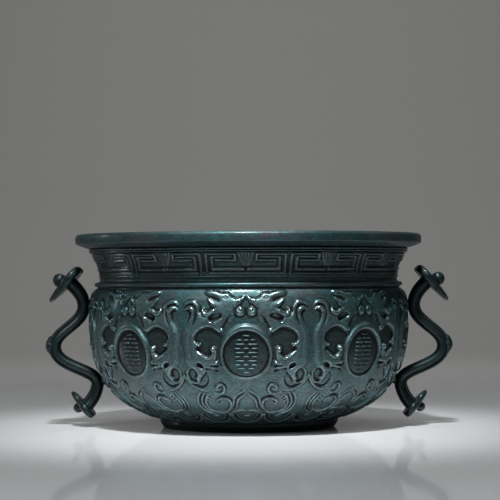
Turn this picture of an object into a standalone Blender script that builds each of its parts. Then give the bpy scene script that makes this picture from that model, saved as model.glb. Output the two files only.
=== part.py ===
"""Cast copper treasure bowl with a key fret neck, a dragon belly and two ruyi handles.

The bowl is one hollow casting: a flat lip, a flared neck with a belt of mirrored key
frets, a collar, a round belly with eight medallions between pairs of dragons, and a low
foot ring. Two handles shaped as ruyi sceptres stand against its sides.
Units are metres, +Z is up, the origin is at the centre of the foot's underside, the
front of the bowl faces -Y and the handles stand at +X and -X.
"""

import math

import bmesh
import bpy
from mathutils import Matrix, Vector
from mathutils.geometry import delaunay_2d_cdt, intersect_point_line

# Heights of the bowl's stages, from the foot up
FOOT_HEIGHT = 0.0062
BELLY_HEIGHT = 0.0951
COLLAR_HEIGHT = 0.0049
COVE_HEIGHT = 0.0043
FRIEZE_HEIGHT = 0.0165
BORDER_HEIGHT = 0.0036
LIP_SLOPE_HEIGHT = 0.0034
LIP_HEIGHT = 0.0070

# Radius of the belly, and the steps in radius from there up to the rim
BELLY_RADIUS = 0.1157
SHOULDER_INSET = 0.0037
COLLAR_INSET = 0.0031
NECK_INSET = 0.0063
NECK_FLARE = 0.0051
BORDER_STEP = 0.0025
LIP_OVERHANG = 0.0098

# Foot, floor and wall
FOOT_BASE_RADIUS = 0.0618
FOOT_FLARE = 0.0034
FOOT_EDGE_HEIGHT = 0.0025
FOOT_RING_WIDTH = 0.0060
FOOT_RECESS = 0.0038
FLOOR_THICKNESS = 0.0045
WALL = 0.0042

# Small edges and grooves
LIP_EDGE = 0.0016
BORDER_EDGE = 0.0008
COLLAR_GROOVE = 0.0010

# Bezier reaches that give the belly and the hollow neck their curves
BELLY_WIDEST_DROP = 0.0243
SHOULDER_EASE = (0.0026, 0.0033)
SHOULDER_REACH = 0.0130
BELLY_REACH = 0.0440
FOOT_REACH = 0.0340
FOOT_SLOPE = math.radians(20.0)
FLARE_EASE = (0.0031, 0.0054)
NECK_REACH = 0.0066

# Relief heights above the turned ground
BODY_RELIEF = 0.0018
LINE_RELIEF = 0.0012
RING_RELIEF = 0.0020
DISC_DEPTH = 0.0003
FRET_RELIEF = 0.0012

# Counts of the ornament and of the turned facets
SECTORS = 8
FRET_PAIRS = 12
TURN_STEPS = math.lcm(2 * SECTORS, 2 * FRET_PAIRS)
BELLY_STEPS = 48
SHOULDER_STEPS = 12
LINING_STEPS = 4
LINING_SHOULDER_STEPS = 2
FRIEZE_STEPS = 6
BELLY_ROWS = 7
FRIEZE_ROWS = 1
SCREW_MERGE = 0.00001
JOIN_MERGE = 0.00002
SHARP_ANGLE = math.radians(40.0)
FRONT_ANGLE = -math.pi / 2.0

# Drawn panels: half the width of a panel is 1 wide, and these are their depths
BELLY_DRAWN_DEPTH = 3.03
FRET_DRAWN_DEPTH = 0.59
PANEL_MERGE = 0.002
GRID_CLEARANCE = 0.12
RING_CENTRE = (0.0, 0.93)
RING_RADIUS = 0.366
RING_HALF_WIDTH = 0.03
RING_OVERRUN = 15.0
RING_PIECES = 7
SCROLL_END_SHARE = 0.25
SCROLL_THIN_SHARE = 0.6
FRET_HALF_WIDTH = 0.032

# Handle rod: size, seats on the belly, and the bend between them
HANDLE_THICKNESS = 0.0092
HANDLE_WIDTH = 0.0110
BEND_STANDOUT = 0.0273
BEND_SHARE = 0.444
UPPER_SEAT_DROP = 0.0127
LOWER_SEAT_RISE = 0.0288
SEAT_STANDOFF = 0.0016
SEAT_GAP = 0.0003
SEAT_PAD_RADIUS = 0.0034
SEAT_PAD_SIDES = 6
ROD_SIDES = 8
ROD_PIECES = 3
BOSS_SIDES = 6
BOSS_PIECES = 2

# Lengths of the rod's Bezier handles before and after each station
UPPER_END_EASE = 0.0050
UPPER_SEAT_EASE = (0.0080, 0.0140)
BEND_EASE = (0.0126, 0.0160)
LOWER_SEAT_EASE = (0.0114, 0.0060)
LOWER_END_EASE = 0.0050

# Leaf-shaped boss that lies along the outside of the bend
BOSS_RADIUS = 0.0040
BOSS_RISE = 0.0035
BOSS_START = (-0.0048, 0.0145)
BOSS_END = (0.0010, -0.0085)
BOSS_END_SHARE = 0.35
BOSS_EASE = 0.0060

# Upper and lower ruyi heads of a handle
UPPER_HEAD = {
    "offset": (0.0090, 0.0160),
    "tilt": math.radians(47.5),
    "length": 0.0326,
    "thickness": 0.0058,
    "tip_share": 0.45,
    "ball_radius": 0.0050,
    "ball_rise": 0.0026,
}
LOWER_HEAD = {
    "offset": (0.0073, -0.0156),
    "tilt": math.radians(49.0),
    "length": 0.0235,
    "thickness": 0.0048,
    "tip_share": 0.55,
    "ball_radius": 0.0036,
    "ball_rise": 0.0020,
}
HEAD_LOBE = 0.13
HEAD_LOBES = 3
HEAD_POINTS = 15
HEAD_BACK_SHARE = 0.42
HEAD_BALL_SHARE = 0.48
HEAD_ROD_SHARE = 0.36
BALL_SEGMENTS = 8
BALL_RINGS = 5

# Colours of the patina
BOWL_COLOUR = (0.045, 0.090, 0.088)
HANDLE_COLOUR = (0.030, 0.058, 0.058)
PATINA_METALLIC = 0.85
PATINA_ROUGHNESS = 0.42

# Heights and radii that follow from the sizes above
BELLY_TOP = FOOT_HEIGHT + BELLY_HEIGHT
COLLAR_TOP = BELLY_TOP + COLLAR_HEIGHT
FRIEZE_BOTTOM = COLLAR_TOP + COVE_HEIGHT
FRIEZE_TOP = FRIEZE_BOTTOM + FRIEZE_HEIGHT
BORDER_TOP = FRIEZE_TOP + BORDER_HEIGHT
LIP_BOTTOM = BORDER_TOP + LIP_SLOPE_HEIGHT
BOWL_TOP = LIP_BOTTOM + LIP_HEIGHT
BELLY_WIDEST = BELLY_TOP - BELLY_WIDEST_DROP
FLOOR_TOP = FOOT_RECESS + FLOOR_THICKNESS
SHOULDER_RADIUS = BELLY_RADIUS - SHOULDER_INSET
COLLAR_RADIUS = BELLY_RADIUS - COLLAR_INSET
NECK_RADIUS = BELLY_RADIUS - NECK_INSET
FRIEZE_TOP_RADIUS = NECK_RADIUS + NECK_FLARE
BORDER_RADIUS = FRIEZE_TOP_RADIUS + BORDER_STEP
RIM_RADIUS = BORDER_RADIUS + LIP_OVERHANG
FOOT_TOP_RADIUS = FOOT_BASE_RADIUS + FOOT_FLARE
UPPER_SEAT_HEIGHT = BELLY_TOP - UPPER_SEAT_DROP
LOWER_SEAT_HEIGHT = FOOT_HEIGHT + LOWER_SEAT_RISE
BEND_HEIGHT = LOWER_SEAT_HEIGHT + (UPPER_SEAT_HEIGHT - LOWER_SEAT_HEIGHT) * BEND_SHARE


def cubic(points, share):
    """Point of a cubic Bezier curve at a share of its run."""
    rest = 1.0 - share
    weights = (rest ** 3, 3.0 * rest ** 2 * share, 3.0 * rest * share ** 2, share ** 3)
    return tuple(sum(w * p[axis] for w, p in zip(weights, points)) for axis in range(2))


def belly_profile(steps, shoulder_steps):
    """Radius and height of the belly's ground, from the shoulder down to the foot."""
    upper = (
        (SHOULDER_RADIUS, BELLY_TOP),
        (SHOULDER_RADIUS + SHOULDER_EASE[0], BELLY_TOP - SHOULDER_EASE[1]),
        (BELLY_RADIUS, BELLY_WIDEST + SHOULDER_REACH),
        (BELLY_RADIUS, BELLY_WIDEST),
    )
    lower = (
        (BELLY_RADIUS, BELLY_WIDEST),
        (BELLY_RADIUS, BELLY_WIDEST - BELLY_REACH),
        (FOOT_TOP_RADIUS + FOOT_REACH * math.cos(FOOT_SLOPE),
         FOOT_HEIGHT + FOOT_REACH * math.sin(FOOT_SLOPE)),
        (FOOT_TOP_RADIUS, FOOT_HEIGHT),
    )
    points = [cubic(upper, i / shoulder_steps) for i in range(shoulder_steps)]
    points += [cubic(lower, i / steps) for i in range(steps + 1)]
    return points


def frieze_profile():
    """Radius and height of the fret belt's ground, a hollow neck that flares upwards."""
    curve = (
        (FRIEZE_TOP_RADIUS, FRIEZE_TOP),
        (FRIEZE_TOP_RADIUS - FLARE_EASE[0], FRIEZE_TOP - FLARE_EASE[1]),
        (NECK_RADIUS, FRIEZE_BOTTOM + NECK_REACH),
        (NECK_RADIUS, FRIEZE_BOTTOM),
    )
    return [cubic(curve, i / FRIEZE_STEPS) for i in range(FRIEZE_STEPS + 1)]


def outward(upper, lower):
    """Outward direction of the side that falls from one profile point to the next."""
    length = math.hypot(lower[0] - upper[0], lower[1] - upper[1])
    return (upper[1] - lower[1]) / length, (lower[0] - upper[0]) / length


def offset_profile(profile, distance):
    """Profile moved outwards by a distance, or inwards by a negative one."""
    last = len(profile) - 1
    points = []
    for i, (radius, height) in enumerate(profile):
        normal = outward(profile[max(i - 1, 0)], profile[min(i + 1, last)])
        points.append((radius + normal[0] * distance, height + normal[1] * distance))
    return points


def at_height(profile, height):
    """Radius and outward direction of a falling profile at a height."""
    for upper, lower in zip(profile, profile[1:]):
        if lower[1] <= height <= upper[1]:
            break
    share = (height - lower[1]) / (upper[1] - lower[1])
    return lower[0] + (upper[0] - lower[0]) * share, outward(upper, lower)


class Belt:
    """A ring of mirrored ornament panels on a turned ground.

    A panel is drawn flat: across runs from 0 at its middle axis to 1 at its outer axis,
    and down runs in the same unit from 0 at its upper edge to its drawn depth. Lengths
    down it shrink with the radius, so that a circle drawn there stays a circle.
    """

    def __init__(self, profile, pairs, drawn_depth):
        self.profile = profile
        self.half_angle = math.pi / pairs
        self.depth = drawn_depth
        run = [0.0]
        for (r0, z0), (r1, z1) in zip(profile, profile[1:]):
            run.append(run[-1] + 2.0 * math.hypot(r1 - r0, z1 - z0) / (r0 + r1))
        self.run = [length * drawn_depth / run[-1] for length in run]

    def ground(self, down):
        """Radius, height and outward direction of the ground at a place down the panel."""
        last = len(self.run) - 2
        index = next((i for i in range(last) if self.run[i + 1] > down), last)
        upper, lower = self.profile[index], self.profile[index + 1]
        share = (down - self.run[index]) / (self.run[index + 1] - self.run[index])
        radius = upper[0] + (lower[0] - upper[0]) * share
        height = upper[1] + (lower[1] - upper[1]) * share
        return radius, height, outward(upper, lower)

    def place(self, across, down, lift, axis_angle, side):
        """Point of the bowl for a place on the panel, raised by lift above the ground."""
        radius, height, normal = self.ground(down)
        angle = axis_angle + side * across * self.half_angle
        reach = radius + normal[0] * lift
        return Vector((reach * math.cos(angle), reach * math.sin(angle), height + normal[1] * lift))


def smooth_path(knots, pieces):
    """Points of a smooth curve through knots of (across, down, half width)."""
    path = []
    last = len(knots) - 1
    for i in range(last):
        before = knots[max(i - 1, 0)]
        after = knots[min(i + 2, last)]
        for step in range(pieces):
            t = step / pieces
            point = []
            for p0, p1, p2, p3 in zip(before, knots[i], knots[i + 1], after):
                bend = 2.0 * p0 - 5.0 * p1 + 4.0 * p2 - p3
                twist = 3.0 * (p1 - p2) + p3 - p0
                point.append(0.5 * (2.0 * p1 + (p2 - p0) * t + bend * t * t + twist * t ** 3))
            path.append(tuple(point))
    path.append(knots[-1])
    return path


def arc_path(centre, radius, start, end, half_width, pieces):
    """Points of an arc about centre, with angles in degrees from the down direction."""
    path = []
    for i in range(pieces + 1):
        angle = math.radians(start + (end - start) * i / pieces)
        across = centre[0] + radius * math.sin(angle)
        path.append((across, centre[1] + radius * math.cos(angle), half_width))
    return path


def spiral_path(centre, radius, start, turn, half_width, pieces):
    """Points of a scroll that winds in from its radius and widens on the way."""
    path = []
    for i in range(pieces + 1):
        share = i / pieces
        angle = math.radians(start + turn * share)
        reach = radius * (1.0 - (1.0 - SCROLL_END_SHARE) * share)
        width = half_width * (SCROLL_THIN_SHARE + (1.0 - SCROLL_THIN_SHARE) * share)
        path.append((centre[0] + reach * math.sin(angle), centre[1] + reach * math.cos(angle), width))
    return path


class Stroke:
    """A raised ridge along a path of (across, down, half width), highest on its middle."""

    def __init__(self, path, relief, pointed=(True, True)):
        self.path = path
        self.relief = relief
        self.pointed = pointed

    def outline(self):
        """The ridge's foot, as a closed loop of points."""
        left, right = [], []
        last = len(self.path) - 1
        for i, (x, y, width) in enumerate(self.path):
            x0, y0, _ = self.path[max(i - 1, 0)]
            x1, y1, _ = self.path[min(i + 1, last)]
            length = math.hypot(x1 - x0, y1 - y0)
            side = ((y0 - y1) / length * width, (x1 - x0) / length * width)
            left.append((x + side[0], y + side[1]))
            right.append((x - side[0], y - side[1]))
        if self.pointed[0]:
            left[0] = right[0] = self.tip(self.path[0], self.path[1])
        if self.pointed[1]:
            left[-1] = right[-1] = self.tip(self.path[-1], self.path[-2])
        loop = left + right[::-1]
        return [point for i, point in enumerate(loop) if point != loop[i - 1]]

    @staticmethod
    def tip(end, inner):
        """Point that the ridge runs out to, past the end of its path."""
        length = math.hypot(end[0] - inner[0], end[1] - inner[1])
        share = end[2] / length
        return end[0] + (end[0] - inner[0]) * share, end[1] + (end[1] - inner[1]) * share

    def lift(self, across, down):
        """Height of the ridge over a place on the panel."""
        best = 0.0
        place = Vector((across, down))
        for (x0, y0, w0), (x1, y1, w1) in zip(self.path, self.path[1:]):
            foot, share = intersect_point_line(place, Vector((x0, y0)), Vector((x1, y1)))
            share = min(max(share, 0.0), 1.0)
            foot = Vector((x0 + (x1 - x0) * share, y0 + (y1 - y0) * share))
            width = w0 + (w1 - w0) * share
            best = max(best, 1.0 - (place - foot).length / width)
        return self.relief * best


def medallion_ring():
    """Half ring of the medallion, run a little past the axis on both sides."""
    start, end = -RING_OVERRUN, 180.0 + RING_OVERRUN
    path = arc_path(RING_CENTRE, RING_RADIUS, start, end, RING_HALF_WIDTH, RING_PIECES)
    return Stroke(path, RING_RELIEF, pointed=(False, False))


def dragon_body():
    """The dragon's neck and body, an S from behind the head down to the claws."""
    knots = ((0.31, 0.27, 0.08), (0.45, 0.42, 0.12), (0.68, 0.55, 0.10), (0.82, 0.73, 0.062),
             (0.81, 0.95, 0.060), (0.71, 1.13, 0.070), (0.58, 1.28, 0.030))
    return Stroke(smooth_path(knots, 1), BODY_RELIEF)


def dragon_head(with_horn):
    """Lower jaw, and the snout with the horn that meets its mirrored twin on the axis."""
    horn = ((0.03, 0.12, 0.012), (0.13, 0.18, 0.03))
    snout = ((0.29, 0.14, 0.07), (0.47, 0.09, 0.05), (0.63, 0.06, 0.02))
    jaw = ((0.42, 0.27, 0.05), (0.59, 0.165, 0.018))
    return [Stroke(horn + snout if with_horn else snout, BODY_RELIEF), Stroke(jaw, BODY_RELIEF)]


def pearl():
    """Round pearl beside the axis, under the horns."""
    return Stroke(((0.085, 0.28, 0.055), (0.085, 0.34, 0.055)), BODY_RELIEF)


def dragon_leg():
    """Hooked leg that curls from the body into the round hollow."""
    knots = ((0.77, 0.90, 0.035), (0.70, 1.02, 0.03), (0.58, 1.00, 0.03), (0.50, 0.89, 0.035))
    return Stroke(smooth_path(knots, 1), BODY_RELIEF)


def whisker():
    """Hooked whisker under the jaw."""
    return Stroke(((0.60, 0.36, 0.03), (0.68, 0.27, 0.02)), BODY_RELIEF)


def mane():
    """Mane lock that rises along the outer axis and hooks towards it."""
    knots = ((0.90, 0.62, 0.03), (0.82, 0.37, 0.035), (0.85, 0.20, 0.035), (0.93, 0.27, 0.012))
    return Stroke(smooth_path(knots, 1), BODY_RELIEF)


def claw_cloud():
    """Cloud line under the claws, with its point on the outer axis."""
    knots = ((0.60, 1.40, 0.03), (0.72, 1.53, 0.035), (0.88, 1.45, 0.03), (1.03, 1.31, 0.03))
    return Stroke(knots, LINE_RELIEF)


def tail():
    """Tail that sweeps round the scrolls at the foot of the belly."""
    knots = ((0.73, 1.62, 0.03), (0.84, 1.83, 0.045), (0.66, 2.10, 0.045), (0.24, 2.20, 0.02))
    return Stroke(smooth_path(knots, 1), LINE_RELIEF)


def scrolls():
    """Large and small scroll at the foot of the belly."""
    large = spiral_path((0.37, 1.86), 0.19, -20.0, 280.0, 0.035, 4)
    small = spiral_path((0.43, 1.55), 0.11, -60.0, 200.0, 0.03, 2)
    return [Stroke(large, LINE_RELIEF), Stroke(small, LINE_RELIEF)]


def ogee():
    """Ogee arch whose point stands on the middle axis."""
    knots = ((-0.02, 1.57, 0.03), (0.12, 1.72, 0.03), (0.17, 1.92, 0.03), (0.27, 2.08, 0.015))
    return Stroke(knots, LINE_RELIEF)


def belly_strokes(under_handle):
    """All ridges of a belly panel; the panels under the handles stay plain on their axis."""
    strokes = [medallion_ring(), dragon_body(), dragon_leg(), whisker(), mane(), claw_cloud(), tail()]
    strokes += dragon_head(not under_handle) + scrolls()
    if not under_handle:
        strokes += [pearl(), ogee()]
    return strokes


def fret_strokes():
    """Two hooked bars that lock into each other, and a wedge of leaves on the axis."""
    outer = ((0.92, 0.57), (0.92, 0.06), (0.25, 0.06), (0.25, 0.26), (0.70, 0.26))
    inner = ((0.04, 0.47), (0.81, 0.47), (0.81, 0.16), (0.37, 0.16))
    wedge = ((-0.02, 0.05, 0.10), (-0.02, 0.35, 0.035))
    strokes = [Stroke(wedge, FRET_RELIEF, pointed=(False, True))]
    for corners in (outer, inner):
        path = [(across, down, FRET_HALF_WIDTH) for across, down in corners]
        strokes.append(Stroke(path, FRET_RELIEF, pointed=(False, False)))
    return strokes


def ground_lift(strokes, has_disc, across, down):
    """Height of the relief over a place: the highest ridge, or the medallion's disc."""
    lift = max(stroke.lift(across, down) for stroke in strokes)
    from_ring = math.hypot(across - RING_CENTRE[0], down - RING_CENTRE[1])
    if has_disc and lift <= 0.0 and from_ring < RING_RADIUS:
        return -DISC_DEPTH
    return lift


def panel_mesh(depth, strokes, columns, rows, has_disc):
    """Flat triangles of one panel that follow every ridge, with the lift of each point."""
    corners = [(i / columns, 0.0) for i in range(columns)] + [(1.0, 0.0)]
    corners += [(1.0 - i / columns, depth) for i in range(columns)] + [(0.0, depth)]
    points = [Vector(p) for p in corners]
    edges = [(i, (i + 1) % len(corners)) for i in range(len(corners))]
    for stroke in strokes:
        start = len(points)
        points += [Vector((x, y)) for x, y, _ in stroke.path]
        edges += [(i, i + 1) for i in range(start, len(points) - 1)]
        start = len(points)
        points += [Vector(p) for p in stroke.outline()]
        edges += [(i, i + 1) for i in range(start, len(points) - 1)]
        edges.append((len(points) - 1, start))
    for row in range(1, rows):
        for column in range(columns + 1):
            place = Vector((column / columns, depth * row / rows))
            if all((place - p).length > GRID_CLEARANCE for p in points):
                points.append(place)
    flat, _, triangles, *_ = delaunay_2d_cdt(points, edges, [], 0, PANEL_MERGE)
    inside = []
    for triangle in triangles:
        middle = sum((flat[i] for i in triangle), Vector((0.0, 0.0))) / 3.0
        if 0.0 < middle.x < 1.0 and 0.0 < middle.y < depth:
            inside.append(triangle)
    lifts = []
    for point in flat:
        on_edge = point.y < PANEL_MERGE or point.y > depth - PANEL_MERGE
        lifts.append(0.0 if on_edge else ground_lift(strokes, has_disc, point.x, point.y))
    return flat, inside, lifts


def add_panel(mesh, belt, panel, axis_angle, side):
    """Wraps one panel round the bowl, on one side of its axis."""
    flat, triangles, lifts = panel
    used = sorted({i for triangle in triangles for i in triangle})
    verts = {}
    for i in used:
        verts[i] = mesh.verts.new(belt.place(flat[i].x, flat[i].y, lifts[i], axis_angle, side))
    for triangle in triangles:
        order = triangle if side < 0 else tuple(reversed(triangle))
        mesh.faces.new([verts[i] for i in order])


def lip_and_lining():
    """Profile from the middle of the floor up the lining, over the lip to the fret belt."""
    inner = offset_profile(belly_profile(LINING_STEPS, LINING_SHOULDER_STEPS), -WALL)
    floor_edge = (at_height(inner, FLOOR_TOP)[0], FLOOR_TOP)
    lining = [p for p in inner if floor_edge[1] < p[1] < BELLY_TOP - WALL]
    profile = [(0.0, FLOOR_TOP), floor_edge]
    profile += reversed(lining)
    profile += [
        (NECK_RADIUS - WALL, COLLAR_TOP),
        (NECK_RADIUS - WALL, FRIEZE_BOTTOM + NECK_REACH),
        (FRIEZE_TOP_RADIUS - WALL, FRIEZE_TOP),
        (FRIEZE_TOP_RADIUS - WALL, BOWL_TOP),
        (RIM_RADIUS - LIP_EDGE, BOWL_TOP),
        (RIM_RADIUS, BOWL_TOP - LIP_EDGE),
        (RIM_RADIUS, LIP_BOTTOM),
        (BORDER_RADIUS, BORDER_TOP),
        (BORDER_RADIUS - BORDER_EDGE, FRIEZE_TOP + BORDER_EDGE),
        (FRIEZE_TOP_RADIUS, FRIEZE_TOP),
    ]
    return profile


def cove_and_collar():
    """Profile from the fret belt down the plain cove and the collar to the belly."""
    return [
        (NECK_RADIUS, FRIEZE_BOTTOM),
        (NECK_RADIUS, COLLAR_TOP),
        (COLLAR_RADIUS, COLLAR_TOP - COLLAR_GROOVE),
        (COLLAR_RADIUS, BELLY_TOP + 2.0 * COLLAR_GROOVE),
        (SHOULDER_RADIUS - COLLAR_GROOVE, BELLY_TOP + COLLAR_GROOVE),
        (SHOULDER_RADIUS, BELLY_TOP),
    ]


def foot_profile():
    """Profile of the foot ring and the recess under the floor."""
    ring_inner = FOOT_BASE_RADIUS - FOOT_RING_WIDTH
    return [
        (FOOT_TOP_RADIUS, FOOT_HEIGHT),
        (FOOT_TOP_RADIUS, FOOT_HEIGHT - FOOT_EDGE_HEIGHT),
        (FOOT_BASE_RADIUS, 0.0),
        (ring_inner, 0.0),
        (ring_inner, FOOT_RECESS),
        (0.0, FOOT_RECESS),
    ]


def turned(name, profiles, collection):
    """Mesh made by turning open profiles of (radius, height) once round the Z axis."""
    verts, edges = [], []
    for profile in profiles:
        start = len(verts)
        verts += [(radius, 0.0, height) for radius, height in profile]
        edges += [(start + i, start + i + 1) for i in range(len(profile) - 1)]
    data = bpy.data.meshes.new(name)
    data.from_pydata(verts, edges, [])
    item = bpy.data.objects.new(name, data)
    collection.objects.link(item)
    screw = item.modifiers.new("Screw", "SCREW")
    screw.axis = "Z"
    screw.angle = 2.0 * math.pi
    screw.steps = TURN_STEPS
    screw.render_steps = TURN_STEPS
    screw.use_merge_vertices = True
    screw.merge_threshold = SCREW_MERGE
    return baked(item)


def baked(item):
    """Mesh of an object with its modifiers or its curve bevel; the object goes."""
    bpy.context.view_layer.update()
    graph = bpy.context.evaluated_depsgraph_get()
    mesh = bmesh.new()
    mesh.from_mesh(bpy.data.meshes.new_from_object(item.evaluated_get(graph)))
    mesh.transform(item.matrix_world)
    bpy.data.objects.remove(item)
    bmesh.ops.remove_doubles(mesh, verts=mesh.verts, dist=JOIN_MERGE)
    return mesh


def belts():
    """The belly and the fret belt, each with its panels for every place round the bowl."""
    belly = Belt(belly_profile(BELLY_STEPS, SHOULDER_STEPS), SECTORS, BELLY_DRAWN_DEPTH)
    columns = TURN_STEPS // (2 * SECTORS)
    open_panel, seat_panel = (
        panel_mesh(belly.depth, belly_strokes(under_handle), columns, BELLY_ROWS, True)
        for under_handle in (False, True)
    )
    under_handles = (SECTORS // 4, 3 * SECTORS // 4)
    belly_panels = [seat_panel if i in under_handles else open_panel for i in range(SECTORS)]
    frieze = Belt(frieze_profile(), FRET_PAIRS, FRET_DRAWN_DEPTH)
    columns = TURN_STEPS // (2 * FRET_PAIRS)
    fret_panel = panel_mesh(frieze.depth, fret_strokes(), columns, FRIEZE_ROWS, False)
    return (belly, belly_panels), (frieze, [fret_panel] * FRET_PAIRS)


def build_bowl(parts, tools, material):
    """The hollow bowl: turned stages joined to the fret belt and the belly relief."""
    mesh = turned("bowl_turning", [lip_and_lining(), cove_and_collar(), foot_profile()], tools)
    for belt, panels in belts():
        for index, panel in enumerate(panels):
            axis_angle = FRONT_ANGLE + 2.0 * math.pi * index / len(panels)
            for side in (-1, 1):
                add_panel(mesh, belt, panel, axis_angle, side)
    bmesh.ops.remove_doubles(mesh, verts=mesh.verts, dist=JOIN_MERGE)
    return finish("bowl", mesh, parts, material)


def finish(name, mesh, parts, material):
    """Object from a bmesh, shaded smooth with its sharp edges kept."""
    bmesh.ops.recalc_face_normals(mesh, faces=mesh.faces)
    data = bpy.data.meshes.new(name)
    mesh.to_mesh(data)
    mesh.free()
    data.materials.append(material)
    data.shade_smooth()
    data.set_sharp_from_angle(angle=SHARP_ANGLE)
    item = bpy.data.objects.new(name, data)
    parts.objects.link(item)
    return item


def seat_frame(height):
    """Place on the belly's ground at a handle's seat, and the outward direction there."""
    radius, normal = at_height(belly_profile(BELLY_STEPS, SHOULDER_STEPS), height)
    return Vector((radius, 0.0, height)), Vector((normal[0], 0.0, normal[1]))


def moved(place, offset):
    """Place moved by an offset of (outwards, upwards) in the plane of the handles."""
    return place + Vector((offset[0], 0.0, offset[1]))


def handle_stations():
    """Middle-line places of the rod: upper end, upper seat, outer bend, lower seat, lower end."""
    stand = HANDLE_THICKNESS / 2.0 + SEAT_STANDOFF
    upper_ground, upper_normal = seat_frame(UPPER_SEAT_HEIGHT)
    lower_ground, lower_normal = seat_frame(LOWER_SEAT_HEIGHT)
    upper_seat = upper_ground + upper_normal * stand
    lower_seat = lower_ground + lower_normal * stand
    bend = Vector((BELLY_RADIUS + BEND_STANDOUT, 0.0, BEND_HEIGHT))
    upper_end = moved(upper_seat, UPPER_HEAD["offset"])
    lower_end = moved(lower_seat, LOWER_HEAD["offset"])
    return upper_end, upper_seat, bend, lower_seat, lower_end


def head_directions(head, facing):
    """Direction from a head's blunt back to its tip, and its outward direction."""
    along = Vector((math.cos(head["tilt"]), 0.0, -facing * math.sin(head["tilt"])))
    face = Vector((math.sin(head["tilt"]), 0.0, facing * math.cos(head["tilt"])))
    return along, face


def bent_bar(name, knots, radius, sides, pieces, tools):
    """Round bar along knots of (place, direction, run before, run after, radius share)."""
    data = bpy.data.curves.new(name, "CURVE")
    data.dimensions = "3D"
    data.bevel_depth = radius
    data.bevel_resolution = (sides - 4) // 2
    data.resolution_u = pieces
    data.use_fill_caps = True
    spline = data.splines.new("BEZIER")
    spline.bezier_points.add(len(knots) - 1)
    for point, (place, direction, back, ahead, share) in zip(spline.bezier_points, knots):
        point.handle_left_type = "FREE"
        point.handle_right_type = "FREE"
        point.co = place
        point.handle_left = place - direction * back
        point.handle_right = place + direction * ahead
        point.radius = share
    curve = bpy.data.objects.new(name, data)
    tools.objects.link(curve)
    mesh = baked(curve)
    bmesh.ops.scale(mesh, verts=mesh.verts, vec=(1.0, HANDLE_WIDTH / HANDLE_THICKNESS, 1.0))
    return mesh


def handle_rod(tools):
    """The bent rod of a handle, a round bar made wider than it is thick."""
    upper_end, upper_seat, bend, lower_seat, lower_end = handle_stations()
    down = Vector((0.0, 0.0, -1.0))
    upper_out = head_directions(UPPER_HEAD, 1.0)[1]
    lower_out = head_directions(LOWER_HEAD, -1.0)[1]
    upper_end += upper_out * UPPER_HEAD["thickness"] / 2.0
    lower_end += lower_out * LOWER_HEAD["thickness"] / 2.0
    knots = (
        (upper_end, -upper_out, 0.0, UPPER_END_EASE, 1.0),
        (upper_seat, down, *UPPER_SEAT_EASE, 1.0),
        (bend, down, *BEND_EASE, 1.0),
        (lower_seat, down, *LOWER_SEAT_EASE, 1.0),
        (lower_end, lower_out, LOWER_END_EASE, 0.0, 1.0),
    )
    return bent_bar("handle_rod", knots, HANDLE_THICKNESS / 2.0, ROD_SIDES, ROD_PIECES, tools)


def leaf_boss(tools):
    """Low leaf-shaped swelling that follows the outside of the bend."""
    bend = handle_stations()[2]
    down = Vector((0.0, 0.0, -1.0))
    start = moved(bend, BOSS_START)
    middle = moved(bend, (BOSS_RISE, 0.0))
    end = moved(bend, BOSS_END)
    knots = (
        (start, (middle - start).normalized(), 0.0, BOSS_EASE, BOSS_END_SHARE),
        (middle, down, BOSS_EASE, BOSS_EASE / 2.0, 1.0),
        (end, (end - middle).normalized(), BOSS_EASE / 2.0, 0.0, BOSS_END_SHARE),
    )
    return bent_bar("leaf_boss", knots, BOSS_RADIUS, BOSS_SIDES, BOSS_PIECES, tools)


def head_frame(head, rod_end, facing):
    """Matrix that stands a flat head on the end of the rod: tip at local +X, face at +Z."""
    along, face = head_directions(head, facing)
    middle = rod_end + along * head["length"] * (HEAD_BACK_SHARE - HEAD_ROD_SHARE)
    middle += face * head["thickness"] / 2.0
    across = face.cross(along)
    frame = Matrix((along, across, face)).transposed().to_4x4()
    frame.translation = middle
    return frame


def head_plate(head, frame, tools):
    """Three-lobed cloud plate that thins towards its tip."""
    data = bpy.data.curves.new("head_plate", "CURVE")
    data.dimensions = "2D"
    data.fill_mode = "BOTH"
    data.extrude = head["thickness"] / 2.0
    spline = data.splines.new("POLY")
    spline.points.add(HEAD_POINTS - 1)
    spline.use_cyclic_u = True
    mean = head["length"] / 2.0
    for i, point in enumerate(spline.points):
        angle = 2.0 * math.pi * i / HEAD_POINTS
        reach = mean * (1.0 + HEAD_LOBE * math.cos(HEAD_LOBES * angle))
        point.co = (reach * math.cos(angle), reach * math.sin(angle), 0.0, 1.0)
    curve = bpy.data.objects.new("head_plate", data)
    tools.objects.link(curve)
    mesh = baked(curve)
    tip = mean * (1.0 + HEAD_LOBE)
    for vert in mesh.verts:
        share = max(vert.co.x, 0.0) / tip
        vert.co.z *= 1.0 - (1.0 - head["tip_share"]) * share
    bmesh.ops.transform(mesh, matrix=frame, verts=mesh.verts)
    return mesh


def ball(centre, radius):
    """Ball about a centre."""
    mesh = bmesh.new()
    bmesh.ops.create_uvsphere(mesh, u_segments=BALL_SEGMENTS, v_segments=BALL_RINGS, radius=radius)
    bmesh.ops.translate(mesh, verts=mesh.verts, vec=centre)
    return mesh


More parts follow.
